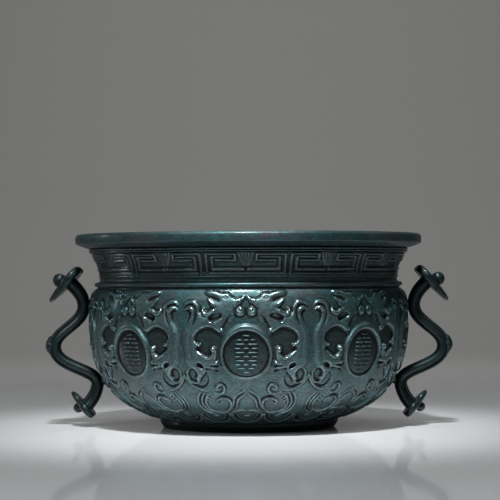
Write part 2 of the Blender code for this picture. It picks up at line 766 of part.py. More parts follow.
def seat_pad(height):
    """Short pad from the middle of the rod into the belly's ground."""
    ground, normal = seat_frame(height)
    reach = HANDLE_THICKNESS / 2.0 + SEAT_STANDOFF
    length = reach + SEAT_STANDOFF
    mesh = bmesh.new()
    bmesh.ops.create_cone(mesh, cap_ends=True, segments=SEAT_PAD_SIDES, radius1=SEAT_PAD_RADIUS,
                          radius2=SEAT_PAD_RADIUS, depth=length)
    turn = normal.to_track_quat("Z", "Y").to_matrix().to_4x4()
    turn.translation = ground + normal * (reach - length / 2.0)
    bmesh.ops.transform(mesh, matrix=turn, verts=mesh.verts)
    return mesh


def tool_object(name, mesh, tools):
    """Object of the tools collection, drawn as wires and left out of renders."""
    data = bpy.data.meshes.new(name)
    mesh.to_mesh(data)
    mesh.free()
    item = bpy.data.objects.new(name, data)
    item.display_type = "WIRE"
    item.hide_render = True
    tools.objects.link(item)
    return item


def seat_cutter(tools):
    """Turned form of the belly, one seat gap proud, that trims the pads to their seats."""
    proud = offset_profile(belly_profile(BELLY_STEPS, SHOULDER_STEPS), SEAT_GAP)
    profile = [(0.0, proud[0][1])] + proud + [(0.0, proud[-1][1])]
    return tool_object("seat_cutter", turned("seat_turning", [profile], tools), tools)


def build_handle(parts, tools, material):
    """Right-hand ruyi handle: rod, two cloud heads with balls, boss and seat pads in one."""
    upper_end, _, _, _, lower_end = handle_stations()
    additions = [leaf_boss(tools), seat_pad(UPPER_SEAT_HEIGHT), seat_pad(LOWER_SEAT_HEIGHT)]
    for head, rod_end, facing in ((UPPER_HEAD, upper_end, 1.0), (LOWER_HEAD, lower_end, -1.0)):
        frame = head_frame(head, rod_end, facing)
        additions.append(head_plate(head, frame, tools))
        shift = head["length"] * (HEAD_BALL_SHARE - HEAD_BACK_SHARE)
        rise = head["thickness"] / 2.0 + head["ball_rise"]
        additions.append(ball(frame @ Vector((shift, 0.0, rise)), head["ball_radius"]))
    handle = finish("handle_right", handle_rod(tools), parts, material)
    for index, mesh in enumerate(additions):
        union = handle.modifiers.new(f"Join {index}", "BOOLEAN")
        union.operation = "UNION"
        union.solver = "EXACT"
        union.object = tool_object(f"handle_addition_{index}", mesh, tools)
    trim = handle.modifiers.new("Seat", "BOOLEAN")
    trim.operation = "DIFFERENCE"
    trim.solver = "EXACT"
    trim.object = seat_cutter(tools)
    mesh = baked(handle)
    bmesh.ops.dissolve_degenerate(mesh, edges=mesh.edges, dist=JOIN_MERGE)
    return finish("handle_right", mesh, parts, material)


def mirror_handle(handle, parts, material):
    """Left-hand handle: the right-hand one turned half round the bowl."""
    left = bpy.data.objects.new("handle_left", handle.data.copy())
    left.data.materials[0] = material
    left.rotation_euler.z = math.pi
    parts.objects.link(left)
    return left


def patina_material(name, colour):
    """Dark green patinated copper."""
    material = bpy.data.materials.new(name)
    material.use_nodes = True
    shader = material.node_tree.nodes["Principled BSDF"]
    shader.inputs["Base Color"].default_value = (*colour, 1.0)
    shader.inputs["Metallic"].default_value = PATINA_METALLIC
    shader.inputs["Roughness"].default_value = PATINA_ROUGHNESS
    material.diffuse_color = (*colour, 1.0)
    return material


def new_collection(name):
    """Collection linked to the scene."""
    collection = bpy.data.collections.new(name)
    bpy.context.scene.collection.children.link(collection)
    return collection


def main():
    """Builds the bowl and its two handles."""
    for item in list(bpy.data.objects):
        bpy.data.objects.remove(item)
    parts = new_collection("treasure_bowl")
    tools = new_collection("tools")
    build_bowl(parts, tools, patina_material("bowl_patina", BOWL_COLOUR))
    right = build_handle(parts, tools, patina_material("handle_right_patina", HANDLE_COLOUR))
    mirror_handle(right, parts, patina_material("handle_left_patina", HANDLE_COLOUR))


main()
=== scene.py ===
"""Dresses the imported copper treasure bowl: relief, key frets, ruyi handles, patina and studio.

Laid out as a Blender add-on and run as a script. Units are metres, +Z is up, the front of
the bowl faces -Y and the handles stand at +X and -X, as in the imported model.
"""

import math

import bmesh
import bpy
import numpy as np
from bpy.props import FloatProperty, FloatVectorProperty, IntProperty, PointerProperty
from mathutils import Matrix, Vector


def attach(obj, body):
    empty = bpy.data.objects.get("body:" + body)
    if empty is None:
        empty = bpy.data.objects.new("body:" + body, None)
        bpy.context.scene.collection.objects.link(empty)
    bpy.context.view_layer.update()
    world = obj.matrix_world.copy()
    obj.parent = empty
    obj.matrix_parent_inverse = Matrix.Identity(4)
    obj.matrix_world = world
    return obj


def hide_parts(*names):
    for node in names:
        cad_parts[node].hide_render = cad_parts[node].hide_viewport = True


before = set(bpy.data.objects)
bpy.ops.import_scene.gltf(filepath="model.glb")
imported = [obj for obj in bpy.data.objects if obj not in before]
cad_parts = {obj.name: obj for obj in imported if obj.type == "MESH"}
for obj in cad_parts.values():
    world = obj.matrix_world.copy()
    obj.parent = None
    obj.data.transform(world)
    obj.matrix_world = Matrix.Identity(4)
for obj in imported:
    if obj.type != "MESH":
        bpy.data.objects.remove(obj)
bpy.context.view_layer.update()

bl_info = {
    "name": "Copper Treasure Bowl",
    "version": (1, 0, 0),
    "blender": (4, 5, 0),
    "location": "3D View > Sidebar > Treasure Bowl",
    "description": "Relief, key frets, handles, patina and studio for the packed treasure bowl",
    "category": "Mesh",
}

FULL_TURN = 2.0 * math.pi
DOWNWARD = Vector((0.0, 0.0, -1.0))

# Heights of the bowl's stages, from the foot up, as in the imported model
FOOT_HEIGHT = 0.0062
BELLY_TOP = 0.1013
COLLAR_TOP = 0.1062
FRIEZE_BOTTOM = 0.1105
FRIEZE_TOP = 0.1270
BORDER_TOP = 0.1306
LIP_BOTTOM = 0.1340
BOWL_TOP = 0.1410
BELLY_WIDEST = 0.0770

# Radii of the stages
BELLY_RADIUS = 0.1157
SHOULDER_RADIUS = 0.1120
COLLAR_RADIUS = 0.1126
NECK_RADIUS = 0.1094
FRIEZE_TOP_RADIUS = 0.1145
BORDER_RADIUS = 0.1170
RIM_RADIUS = 0.1268
FOOT_TOP_RADIUS = 0.0652
FOOT_BASE_RADIUS = 0.0618
FOOT_RING_WIDTH = 0.0060
FOOT_RECESS = 0.0038
FLOOR_TOP = 0.0083
WALL = 0.0042
LINING_RADIUS = FRIEZE_TOP_RADIUS - WALL

# Bezier reaches of the belly and the neck, and the steps of each curve
SHOULDER_EASE = (0.0026, 0.0033)
SHOULDER_REACH = 0.0130
BELLY_REACH = 0.0440
FOOT_REACH = 0.0340
FOOT_SLOPE = math.radians(20.0)
FLARE_EASE = (0.0031, 0.0054)
NECK_REACH = 0.0066
SHOULDER_STEPS = 60
BELLY_STEPS = 240
NECK_STEPS = 80

# How far the turned body lies behind the fret belt and the belly panels
FRET_BACKING = 0.0012
BELLY_BACKING = 0.0013
FLOOR_EASE = 0.003

# Rounding of a turned part's corners, and the cosine past which a corner counts as straight
CORNER_RADIUS = 0.0007
PAD_CORNER_RADIUS = 0.0004
STRAIGHT = -0.985

# Mouldings: a radius and a height, then steps away from them in tenths of a millimetre
STEP = 0.0001
LIP_STEPS = (
    (LINING_RADIUS, BOWL_TOP, ((0, -4), (12, 0))),
    (RIM_RADIUS, BOWL_TOP, ((-60, -1.5), (-16, -1), (-1, -16), (0, -40))),
    (RIM_RADIUS, LIP_BOTTOM, ((-1, 3), (-10, -4))),
    (BORDER_RADIUS, BORDER_TOP, ((12, 3), (-6, 1), (-6, -5), (2, -8), (2, -17), (-7, -20),
                                 (-7, -24), (-2, -26), (-2, -32))),
    (FRIEZE_TOP_RADIUS, FRIEZE_TOP, ((4, 1), (-12, -6))),
)
COLLAR_STEPS = (
    (NECK_RADIUS, FRIEZE_BOTTOM, ((-11, 6), (4, 2), (4, -7), (-4, -14))),
    (NECK_RADIUS, COLLAR_TOP, ((-4, 8), (6, 1))),
    (COLLAR_RADIUS, COLLAR_TOP, ((-4, -3), (2, -12), (2, -24), (-3, -32))),
    (SHOULDER_RADIUS, COLLAR_TOP, ((-12, -34),)),
    (SHOULDER_RADIUS, BELLY_TOP, ((-12, 2), (-1, 2), (-12, -12))),
)
FOOT_STEPS = (
    (FOOT_TOP_RADIUS, FOOT_HEIGHT, ((-4, 8), (1, 0), (0, -24))),
    (FOOT_TOP_RADIUS, 0.0, ((-16, 16),)),
    (FOOT_BASE_RADIUS, 0.0, ((2, 0),)),
    (FOOT_BASE_RADIUS - FOOT_RING_WIDTH, 0.0, ((0, 0),)),
    (FOOT_BASE_RADIUS - FOOT_RING_WIDTH, FOOT_RECESS, ((-4, 0),)),
    (0.0, FOOT_RECESS, ((300, 0), (0, 0))),
)

# Ornament panels: half of a panel is 1 wide, and the belly's drawn depth is in that unit
SECTORS = 8
FRET_PAIRS = 12
FRET_WIDTH = 0.0295
PETALS_PER_SECTOR = 3
BELLY_DEPTH = 3.03
FINE_DEPTH = 2.42
FRONT_ANGLE = -math.pi / 2.0
PANEL_BACK = 0.0018
PANEL_HALF_WIDTH = 0.0448
SEAM = 0.00001
PATH_PIECES = 5
BELLY_PIECES = (("belly_front_back", False, 0), ("belly_left_front", False, -1),
                ("belly_right_front", False, 1), ("belly_sides", True, 2))

# Lotus petals: their top and height, the lines round them as (reach, half width, height),
# and the bud between two of them as (down, half width, half height, height, edge)
PETAL_TOP = 2.30
PETAL_HEIGHT = 0.50
PETAL_LINES = ((0.93, 0.07, 1.0), (0.62, 0.05, 0.8))
PETAL_HOLLOW = (0.84, 0.10, 0.6)
BUD = (2.39, 0.085, 0.075, 0.9, 0.8)

# Medallion rings: how far down the middle is, half the width and half the height
RING_OUTSIDE = (0.954, 0.408, 0.431)
RING_INSIDE = (0.990, 0.350, 0.364)

# Heights above the belly's ground that no setting changes
DISC_HEIGHTS = (-0.0010, -0.0003)
BAND_SWELL = 0.0007
VASE_SWELL = 0.0008
POCKET_HEIGHT = 0.0002
LIFT_LIMITS = (-0.00115, 0.0026)

# How much a place has to stand out from its surroundings to count as fully crested
FULL_CREST = 0.00036
CREST_REACH = 0.0011
FRET_CREST_REACH = 0.0009
TURNED_CREST = 0.0016
MARK_CREST = 0.0004
# Crest forced on the foot ring, so that it takes the hollows' dark patina and painted shade
FOOT_SHADE_CREST = -0.62

# Key fret: paths of its two bars as (share of the width, height in millimetres), half widths
FRET_BARS = (
    (((.925, 110.2), (.925, 125.6), (.246, 125.6), (.246, 120.7), (.70, 120.7)), 0.00100),
    (((.05, 114.3), (.795, 114.3), (.795, 123.3), (.34, 123.3)), 0.00098),
)
FRET_EDGE = 0.001
FRET_FIELD_SIDES = (0.10, 0.80)
FRET_FIELD_HEIGHTS = (0.1200, 0.1152)
FRET_GAP = (0.955, 0.001)
NECK_LINE = (0.1111, 0.0005, 0.6)

# Fan between two frets: where each rib starts and ends, their height and how far down they run
FAN_RIBS = ((0.0, 0.0), (0.085, 0.030), (0.175, 0.062))
FAN_HEIGHT = 0.45
FAN_DEPTH = 0.0100

# Handle rod: its forms in section are centre, half its depth and half its width
ROD_THICKNESS = 0.0092
ROD_FORMS = ((-0.0008, 0.0038, 0.0055), (0.0035, 0.0011, 0.0034), (0.0012, 0.0010, 0.0051))
BEND_X = 0.1430
BEND_Z = 0.0588
UPPER_SEAT_Z = 0.0886
LOWER_SEAT_Z = 0.0350
SEAT_STANDOFF = 0.0016
SEAT_PAD_RADIUS = 0.0034
BOSS_PLACES = ((-0.0010, 0.0096), (0.0034, 0.0), (0.0012, -0.0084))
BOSS_SECTION = (0.0035, 0.0042)
BOSS_SWELL = (0.0012, 0.0005)

# Stations of a bar: its curve's run before and after each of them, and its girth there
ROD_RUNS = ((0.0, 0.0050, 1.16), (0.0080, 0.0140, 1.0), (0.0126, 0.0160, 1.0),
            (0.0114, 0.0060, 1.0), (0.0050, 0.0, 1.10))
BOSS_RUNS = ((0.0, 0.0060, 0.12), (0.0030, 0.0040, 0.80), (0.0035, 0.0030, 1.0),
             (0.0040, 0.0, 0.15))

# Ruyi heads
UPPER_HEAD = {"offset": (0.0090, 0.0160), "tilt": 47.5, "length": 0.0326, "thickness": 0.0058,
              "tip_share": 0.45, "ball_radius": 0.0050, "ball_rise": 0.0026, "facing": 1.0}
LOWER_HEAD = {"offset": (0.0073, -0.0156), "tilt": 49.0, "length": 0.0235, "thickness": 0.0048,
              "tip_share": 0.55, "ball_radius": 0.0036, "ball_rise": 0.0020, "facing": -1.0}
HEAD_SHIFT = 0.06
HEAD_SINK = 0.35
HEAD_RIM = 0.0017
HEAD_BORDER = (0.0026, 0.0007, 0.0005)
HEAD_DISH = (0.0030, 0.0020, 0.0006)
SCROLL_LINE = (0.00075, 0.0007)
LOBE_TURN = 2.22

# Lobes of a ruyi head: turn from the tip, distance from the middle and radius
HEAD_LOBES = ((0.0, 0.43, 0.70), (LOBE_TURN, 0.50, 0.62), (-LOBE_TURN, 0.50, 0.62),
              (0.0, 0.0, 0.74))


def drawn(*numbers):
    """Line of the belly's ornament from pairs across and down in thousandths of half a panel."""
    return tuple((x / 1000.0, y / 1000.0) for x, y in zip(numbers[::2], numbers[1::2]))


# Outlines of the dragons, the hollows between them and the band under the medallions
DRAGON = drawn(150, 150, 200, 126, 239, 78, 280, 60, 371, 60, 446, 32, 513, 12, 578, 12, 615, 25,
    627, 53, 606, 83, 568, 106, 504, 117, 453, 135, 420, 160, 410, 180, 440, 182, 496, 168,
    553, 145, 584, 138, 582, 174, 548, 217, 524, 262, 473, 301, 485, 330, 547, 372, 604, 390,
    660, 372, 695, 345, 698, 300, 716, 236, 776, 172, 850, 166, 918, 190, 957, 252, 946, 272,
    905, 236, 850, 226, 803, 246, 772, 301, 775, 383, 800, 480, 850, 580, 885, 680, 900, 780,
    895, 870, 880, 953, 875, 1059, 846, 1135, 785, 1215, 750, 1270, 755, 1345, 735, 1350,
    697, 1296, 655, 1235, 625, 1200, 580, 1182, 510, 1170, 456, 1150, 432, 1110, 462, 1088,
    448, 1013, 436, 930, 440, 880, 470, 850, 505, 852, 524, 885, 518, 930, 510, 970, 538, 1008,
    593, 1028, 662, 992, 727, 945, 762, 905, 745, 870, 705, 858, 700, 832, 750, 812, 775, 780,
    776, 720, 755, 668, 699, 616, 620, 582, 547, 575, 484, 602, 440, 632, 400, 655, 362, 645,
    330, 625, 328, 595, 352, 575, 335, 535, 308, 485, 270, 430, 227, 402, 180, 398, 161, 355,
    170, 300, 158, 240, 148, 200)
HORN = drawn(12, 98, 48, 120, 95, 142, 150, 150, 200, 190, 205, 260, 170, 301, 139, 272, 91, 228,
    48, 185, 20, 130)
TUFT = drawn(165, 400, 172, 430, 195, 478, 252, 506, 276, 470, 262, 420, 225, 395)
LEAF_HOLLOW = drawn(354, 398, 383, 358, 435, 352, 510, 380, 558, 424, 552, 468, 522, 492, 459, 472,
    379, 438)
VASE_HOLLOW = drawn(1120, 320, 1020, 328, 985, 345, 945, 340, 895, 318, 850, 352, 842, 420,
    880, 535, 930, 640, 950, 750, 935, 880, 910, 990, 905, 1090, 885, 1161, 940, 1185, 985, 1225,
    1010, 1245, 1120, 1245)
ROUND_HOLLOW = drawn(390, 655, 440, 615, 494, 575, 560, 545, 640, 560, 715, 600, 775, 665,
    795, 740, 790, 800, 730, 830, 710, 845, 760, 870, 780, 900, 740, 960, 670, 1010, 600, 1050,
    540, 1045, 490, 990, 505, 930, 515, 885, 480, 860, 448, 900, 455, 1000, 475, 1080, 440, 1100,
    400, 1160, 370, 1130, 340, 1000, 330, 800, 350, 700)
BLOB_HOLLOW = drawn(663, 1183, 676, 1139, 714, 1114, 758, 1112, 760, 1148, 722, 1183, 684, 1196)
CURL_HOLLOW = drawn(772, 1285, 790, 1230, 834, 1196, 883, 1214, 906, 1270, 888, 1325, 839, 1352,
    795, 1333)
FOOT_BAND = drawn(500, 1190, 505, 1300, 525, 1400, 569, 1518, 650, 1590, 733, 1580, 826, 1540,
    905, 1470, 990, 1350, 960, 1345, 900, 1400, 840, 1430, 785, 1425, 752, 1375, 697, 1302,
    651, 1238, 600, 1195)
POCKET = drawn(636, 1222, 605, 1290, 594, 1350, 617, 1436, 675, 1510, 755, 1530, 833, 1495,
    885, 1460, 830, 1440, 780, 1432, 745, 1375, 690, 1305, 655, 1240)

# Lines of ridges and grooves
HORN_FOLD = drawn(40, 140, 91, 180, 150, 212, 190, 225)
BROW = drawn(130, 124, 193, 98, 230, 47, 281, 30, 383, 32, 463, 3)
BROW_GROOVE = drawn(148, 140, 203, 110, 240, 63, 280, 46, 383, 50, 466, 17, 540, 3)
MOUTH = drawn(422, 198, 458, 212, 512, 186, 560, 154)
WHISKER = drawn(410, 285, 445, 305, 490, 332, 547, 368, 602, 378, 645, 352, 654, 314, 634, 292)
LEAF_FOLD = drawn(385, 400, 440, 412, 500, 440, 540, 450)
CRESCENT = drawn(395, 498, 434, 514, 484, 516, 520, 500)
HOOK_GROOVE = drawn(862, 640, 818, 560, 778, 470, 758, 383, 762, 310, 798, 258, 851, 238, 905, 250,
    940, 285)
RIBBON = drawn(938, 318, 912, 292, 868, 284, 824, 304, 797, 350, 799, 415, 829, 523, 880, 614,
    908, 724, 902, 829, 885, 941, 884, 1040, 862, 1105, 805, 1172, 759, 1227, 742, 1285, 762, 1350)
FLANK_FOLD = drawn(800, 560, 835, 650, 850, 780, 842, 900, 822, 1010, 780, 1090)
PEARL_GROOVE = drawn(48, 322, 76, 340, 104, 326, 112, 292)
LEG_CREST = drawn(522, 930, 508, 968, 536, 1012, 593, 1034, 662, 998, 724, 950, 770, 898)
TIP_CREST = drawn(712, 842, 752, 820, 780, 785, 790, 735)
CLAWS = (
    drawn(577, 1128, 500, 1122, 438, 1118),
    drawn(600, 1165, 491, 1186, 415, 1220),
)
CLAW_GAPS = (
    drawn(570, 1142, 477, 1152, 400, 1166),
    drawn(500, 1212, 450, 1232, 415, 1250),
)
CURL_LINE = drawn(838, 1176, 895, 1188, 938, 1250, 936, 1323, 905, 1385)
BAND_LINE = drawn(545, 1470, 580, 1535, 650, 1588, 733, 1578, 826, 1538, 905, 1467, 950, 1405,
    1010, 1320)
POCKET_SHADOW = drawn(600, 1320, 608, 1400, 640, 1462, 690, 1505, 752, 1515, 829, 1480, 885, 1452)
ZIGZAG = drawn(640, 1218, 689, 1291, 745, 1364, 780, 1424, 838, 1440, 900, 1410, 950, 1352,
    1010, 1285)
BIG_SCROLL = drawn(534, 2225, 440, 2190, 365, 2135, 300, 2010, 281, 1890, 312, 1800, 388, 1760,
    482, 1785, 530, 1845, 512, 1908, 458, 1905, 418, 1860)
BIG_SHADOW = drawn(257, 1880, 278, 1780, 335, 1722, 424, 1716, 510, 1750)
TAIL_LINES = (
    drawn(642, 1640, 692, 1735, 735, 1834, 744, 1973, 690, 2098, 565, 2170, 400, 2165),
    drawn(712, 1640, 778, 1751, 814, 1897, 782, 2052, 684, 2157, 524, 2225),
    drawn(742, 1590, 823, 1679, 874, 1802, 879, 1962, 826, 2122, 692, 2244, 530, 2272),
)
TAIL_SHADOWS = (
    drawn(672, 1630, 738, 1720, 776, 1844, 765, 1984, 701, 2122, 600, 2190),
    drawn(727, 1600, 802, 1710, 846, 1855, 836, 1995, 757, 2145, 640, 2215),
)
HATCHES = (
    drawn(590, 1736, 645, 1690),
    drawn(622, 1792, 680, 1738),
    drawn(655, 1850, 708, 1792),
)
SMALL_SCROLL = drawn(600, 1560, 534, 1639, 463, 1659, 393, 1629, 360, 1555, 376, 1492, 420, 1472,
    470, 1500, 494, 1548, 466, 1580, 436, 1566)
SMALL_SHADOW = drawn(336, 1560, 348, 1487, 396, 1448, 465, 1452)
OGEE = drawn(0, 1530, 28, 1565, 68, 1608, 141, 1665, 192, 1730, 222, 1813, 238, 1930, 284, 2063,
    378, 2169)
OGEE_INNER = drawn(0, 1655, 69, 1712, 134, 1782, 168, 1876, 188, 1984, 240, 2110, 352, 2219)
OGEE_SHADOW = drawn(20, 1600, 89, 1655, 163, 1715, 200, 1800, 212, 1930, 255, 2060, 350, 2175)
ARCH = drawn(0, 2206, 51, 2130, 141, 2122, 258, 2182, 340, 2235)

# Strokes of a medallion: how far down each row is, and how far it reaches to either side
MARK_ROWS = ((.700, .075), (.763, .155), (.826, .190), (.890, .190), (.953, .190), (1.016, .190),
             (1.080, .190), (1.143, .190), (1.206, .155), (1.270, .075))
MARK_GAP = 0.028
STROKE_HALF_WIDTH = 0.00070

# Forms that a handle's seat leaves no room for: outline, edge and share of the dragons' relief
OPEN_FORMS = ((TUFT, 0.050, 0.45), (HORN, 0.050, 1.02))

# Dragon's body: widths of its edges and their shares; mane: its rise, edge and half width
DRAGON_EDGES = ((0.022, 0.45), (0.120, 0.55))
MANE = (1.18, 0.085, 0.036)
POCKET_EDGE = 0.016

# Hollows cut into the forms: outline, edge and level, which is the hollows' depth where None
LATE_HOLLOWS = ((LEAF_HOLLOW, 0.016, None), (BLOB_HOLLOW, 0.014, None),
                (CURL_HOLLOW, 0.014, 0.0001))

# Ridges: the relief they are measured in, their share of it, half width, thinned ends, lines
RIDGES = (
    ("body", 1.30, 0.037, (0.30, 0.25), (WHISKER,)),
    ("body", 1.22, 0.024, (0.4, 0.4), (CRESCENT,)),
    ("body", 1.20, 0.022, (0.1, 0.3), (LEG_CREST,)),
    ("body", 1.18, 0.017, (0.0, 0.5), (TIP_CREST,)),
    ("line", 1.35, 0.015, (0.0, 0.0), (ZIGZAG,)),
    ("line", 1.50, 0.013, (0.2, 0.2), (CURL_LINE,)),
    ("line", 1.20, 0.015, (0.3, 0.0), (BAND_LINE,)),
    ("line", 1.05, 0.022, (0.0, 0.2), (BIG_SCROLL,)),
    ("line", 1.00, 0.018, (0.3, 0.2), (SMALL_SCROLL,)),
    ("line", 1.00, 0.014, (0.1, 0.2), TAIL_LINES),
    ("line", 1.00, 0.011, (0.0, 0.0), HATCHES),
    ("body", 0.95, 0.017, (0.0, 0.5), CLAWS),
)
OPEN_RIDGES = (
    ("line", 0.9, 0.010, (0.2, 0.2), (BROW,)), ("line", 0.9, 0.016, (0.1, 0.2), (OGEE,)),
    ("line", 1.0, 0.018, (0.1, 0.3), (OGEE_INNER,)), ("line", 0.8, 0.013, (0.2, 0.2), (ARCH,)),
)

# Beads and balls: place, radius and share of the dragons' relief
BEADS = (((.498, .900), 0.050, 1.40), ((.356, .614), 0.034, 1.15), ((.712, .842), 0.029, 1.30),
         ((.448, 1.104), 0.032, 1.20), ((1.040, 1.183), 0.034, 1.00))
PEARL = ((.086, .338), 0.078, 1.25)

# Eye: its place, the socket's half width, half height, depth and edge, the ball's radius and rise
EYE = (.304, .138)
SOCKET = (0.046, 0.030, 0.0006, 0.5)
EYEBALL = (0.016, 0.0007)

# Grooves: depth in metres, half width, thinned ends, lines
GROOVES = (
    (0.0009, 0.020, 0.45, (HOOK_GROOVE,)), (0.0006, 0.011, 0.3, (MOUTH,)),
    (0.0003, 0.026, 0.3, (FLANK_FOLD,)), (0.0007, 0.020, 0.25, (POCKET_SHADOW,)),
    (0.0007, 0.017, 0.3, (BIG_SHADOW,)), (0.0007, 0.016, 0.3, (SMALL_SHADOW,)),
    (0.0003, 0.012, 0.3, (LEAF_FOLD,)), (0.0006, 0.011, 0.15, TAIL_SHADOWS),
    (0.0015, 0.013, 0.5, CLAW_GAPS),
)
OPEN_GROOVES = ((0.0010, 0.012, 0.2, (PEARL_GROOVE,)), (0.0008, 0.010, 0.15, (BROW_GROOVE,)),
                (0.0006, 0.011, 0.15, (OGEE_SHADOW,)), (0.0005, 0.010, 0.3, (HORN_FOLD,)))

# Share of each effect in the patina of each group of pieces; the edge wear and hollow dirt shares
# also set painted highlight and painted shade, low sets painted bounce light on the lower belly,
# side sets painted shade at the bowl's sides
PATINAS = {
    "turned_patina": {"ground": 0.62, "brown": 1.0, "green": 0.75, "wear_and_highlight": 0.4, "dirt_and_shade": 0.9,
                      "side": 0.45, "streaks": 0.9, "coat": 0.14},
    "fret_patina": {"ground": 0.44, "brown": 0.35, "green": 0.95, "wear_and_highlight": 0.46, "dirt_and_shade": 0.9,
                    "side": 0.5, "coat": 0.30},
    "belly_patina": {"ground": 0.7, "brown": 0.45, "green": 0.65, "wear_and_highlight": 0.75, "dirt_and_shade": 1.1,
                     "low": 0.22, "side": 0.9, "grain": 0.3, "coat": 0.20},
    "mark_patina": {"ground": 0.85, "brown": 0.5, "green": 0.2, "wear_and_highlight": 0.5, "swirl": 60.0,
                    "coat": 0.0},
    "handle_patina": {"ground": 0.20, "brown": 0.12, "green": 0.95, "wear_and_highlight": 0.45, "spots": 1.0,
                      "coat": 0.30},
}
PLAIN_PATINA = {"swirl": 110.0, "dirt_and_shade": 1.0, "low": 0.0, "side": 0.0, "grain": 0.40,
                "streaks": 0.5, "spots": 0.0}
PATINA_INPUTS = {"Brown Share": "brown", "Green Share": "green", "Swirl Scale": "swirl",
                 "Edge Wear": "wear_and_highlight", "Hollow Dirt": "dirt_and_shade", "Low Wear": "low",
                 "Side Patina": "side"}
# Tint of the sides: thicker green patina and painted shade
SIDE_PATINA_AND_SHADE_TINT = (0.20, 0.50, 0.52, 1.0)
COAT_ROUGHNESS = 0.17
BUMP_DISTANCE = 0.0004
SHARP_ANGLE = math.radians(50.0)

# Backdrop: half its width, its front edge, its back, its height and the radius of its bend
BACKDROP = (3.2, -1.9, 2.2, 3.0, 0.9)
BACKDROP_STATIONS = (-0.5, 0.6, 1.2, 1.28)
BEND_STEPS = 64

# Spots: name, place, target, power setting, share of it, beam angle, radius
SPOTS = (
    ("key", (-0.03, -0.80, 1.42), (0.0, -0.035, 0.0), "key_power", 1.0, 19.0, 0.06),
    ("shoulder", (-0.12, -0.78, 1.30), (-0.008, -0.10, 0.112), "key_power", 0.62, 10.5, 0.10),
)

# Softboxes: name, place, target, power setting, share of it, size, spread
SOFTBOXES = (
    ("floor", (0.0, -0.75, 0.62), (0.0, -0.62, 0.0), "floor_power", 1.0, (0.9, 0.25), 180.0),
    ("overhead", (0.0, 0.25, 1.10), (0.0, 0.0, 0.1), "overhead_power", 1.0, (0.7, 0.4), 180.0),
    ("front", (-0.95, -1.35, 0.85), (0.0, -0.1, 0.06), "front_power", 1.0, (0.5, 0.4), 180.0),
    ("left", (-1.0, 0.24, 0.30), (-0.07, -0.05, 0.08), "side_power", 0.018, (0.10, 0.5), 20.0),
    ("right", (0.95, -0.10, 0.32), (0.06, -0.04, 0.08), "side_power", 0.004, (0.10, 0.6), 20.0),
    ("upper_right", (0.73, 0.20, 0.80), (0.13, 0.0, 0.08), "side_power", 0.25, (0.12, 0.12),
     180.0),
    ("backdrop", (0.0, 0.75, 1.05), (0.0, 2.2, 0.65), "wall_power", 1.0, (1.8, 0.6), 180.0),
)
WORLD_GREY = (0.5, 0.5, 0.5, 1.0)
WORLD_STRENGTH = 0.06

# Camera: its distance and height are those fitted to the photograph
CAMERA_DISTANCE = 1.360
CAMERA_HEIGHT = 0.1104
CAMERA_TURN = math.radians(0.9)
CAMERA_ROLL = math.radians(-0.29)
CAMERA_LENS = {"lens": 133.0, "sensor_width": 36.0, "shift_x": 0.0032, "shift_y": 0.052,
               "clip_start": 0.05}


def length_setting(name, description, default, low, high):
    """Small length that a user may change."""
    return FloatProperty(name=name, description=description, default=default, min=low, max=high,
                         subtype="DISTANCE", unit="LENGTH", precision=4)


def count_setting(name, description, default, low, high):
    """Number of mesh columns or steps that a user may change."""
    return IntProperty(name=name, description=description, default=default, min=low, max=high)


def colour_setting(name, description, default):
    """Colour that a user may change."""
    return FloatVectorProperty(name=name, description=description, default=default,
                               min=0.0, max=1.0, size=3, subtype="COLOR")


def power_setting(name, description, default, high=400.0):
    """Power of a light that a user may change."""
    return FloatProperty(name=name, description=description, default=default, min=0.0, max=high,
                         unit="POWER")


class BowlSizes(bpy.types.PropertyGroup):
    """Sizes of the relief that a user may change."""

    body_relief: length_setting(
        "Dragon relief", "Height of the dragons above the belly", 0.0018, 0.0005, 0.003)
    line_relief: length_setting(
        "Line relief", "Height of the scroll lines above the belly", 0.0011, 0.0002, 0.002)
    ring_relief: length_setting(
        "Ring relief", "Height of the medallion rings above the belly", 0.0017, 0.0005, 0.003)
    hollow_depth: length_setting(
        "Hollow depth", "Depth of the dark grounds between the dragons", 0.0007, 0.0, 0.0012)
    fret_relief: length_setting(
        "Fret relief", "Height of the key frets above the neck", 0.0012, 0.0004, 0.002)
    mark_relief: length_setting(
        "Mark relief", "Height of the plain strokes inside the medallions", 0.0012, 0.0002, 0.0015)
    rod_thickness: length_setting(
        "Rod thickness", "Thickness of the handle rods seen from the front",
        ROD_THICKNESS, 0.006, 0.0096)
    belly_columns: count_setting(
        "Belly columns", "Mesh columns across half a belly panel", 83, 24, 90)
    fret_columns: count_setting("Fret columns", "Mesh columns across one key fret", 56, 24, 72)
    turn_steps: count_setting(
        "Turning steps", "Mesh steps round the lip, the lining and the foot", 160, 48, 256)


class PatinaColours(bpy.types.PropertyGroup):
    """Colours of the patina that a user may change."""

    ground: colour_setting(
        "Ground", "Dark teal patina of the plain ground", (0.028, 0.060, 0.065))
    # The raised colour is rubbed patina and also painted highlight and painted light on the relief
    raised: colour_setting(
        "Raised", "Lighter teal of rubbed edges and ridges", (0.150, 0.235, 0.250))
    # The hollow colour is the dark patina of the recesses and also painted shade in them
    hollow: colour_setting(
        "Hollow", "Brown black that stays in the recesses", (0.003, 0.004, 0.004))
    brown: colour_setting("Brown", "Purple brown patches of thin patina", (0.072, 0.076, 0.086))
    green: colour_setting("Green", "Stronger green of thick patina", (0.030, 0.122, 0.128))
    copper: colour_setting("Copper", "Bare copper of the worn spots", (0.45, 0.22, 0.12))
    metallic: FloatProperty(
        name="Metallic", description="Share of metal in the patina's shine",
        default=0.80, min=0.0, max=1.0, subtype="FACTOR")


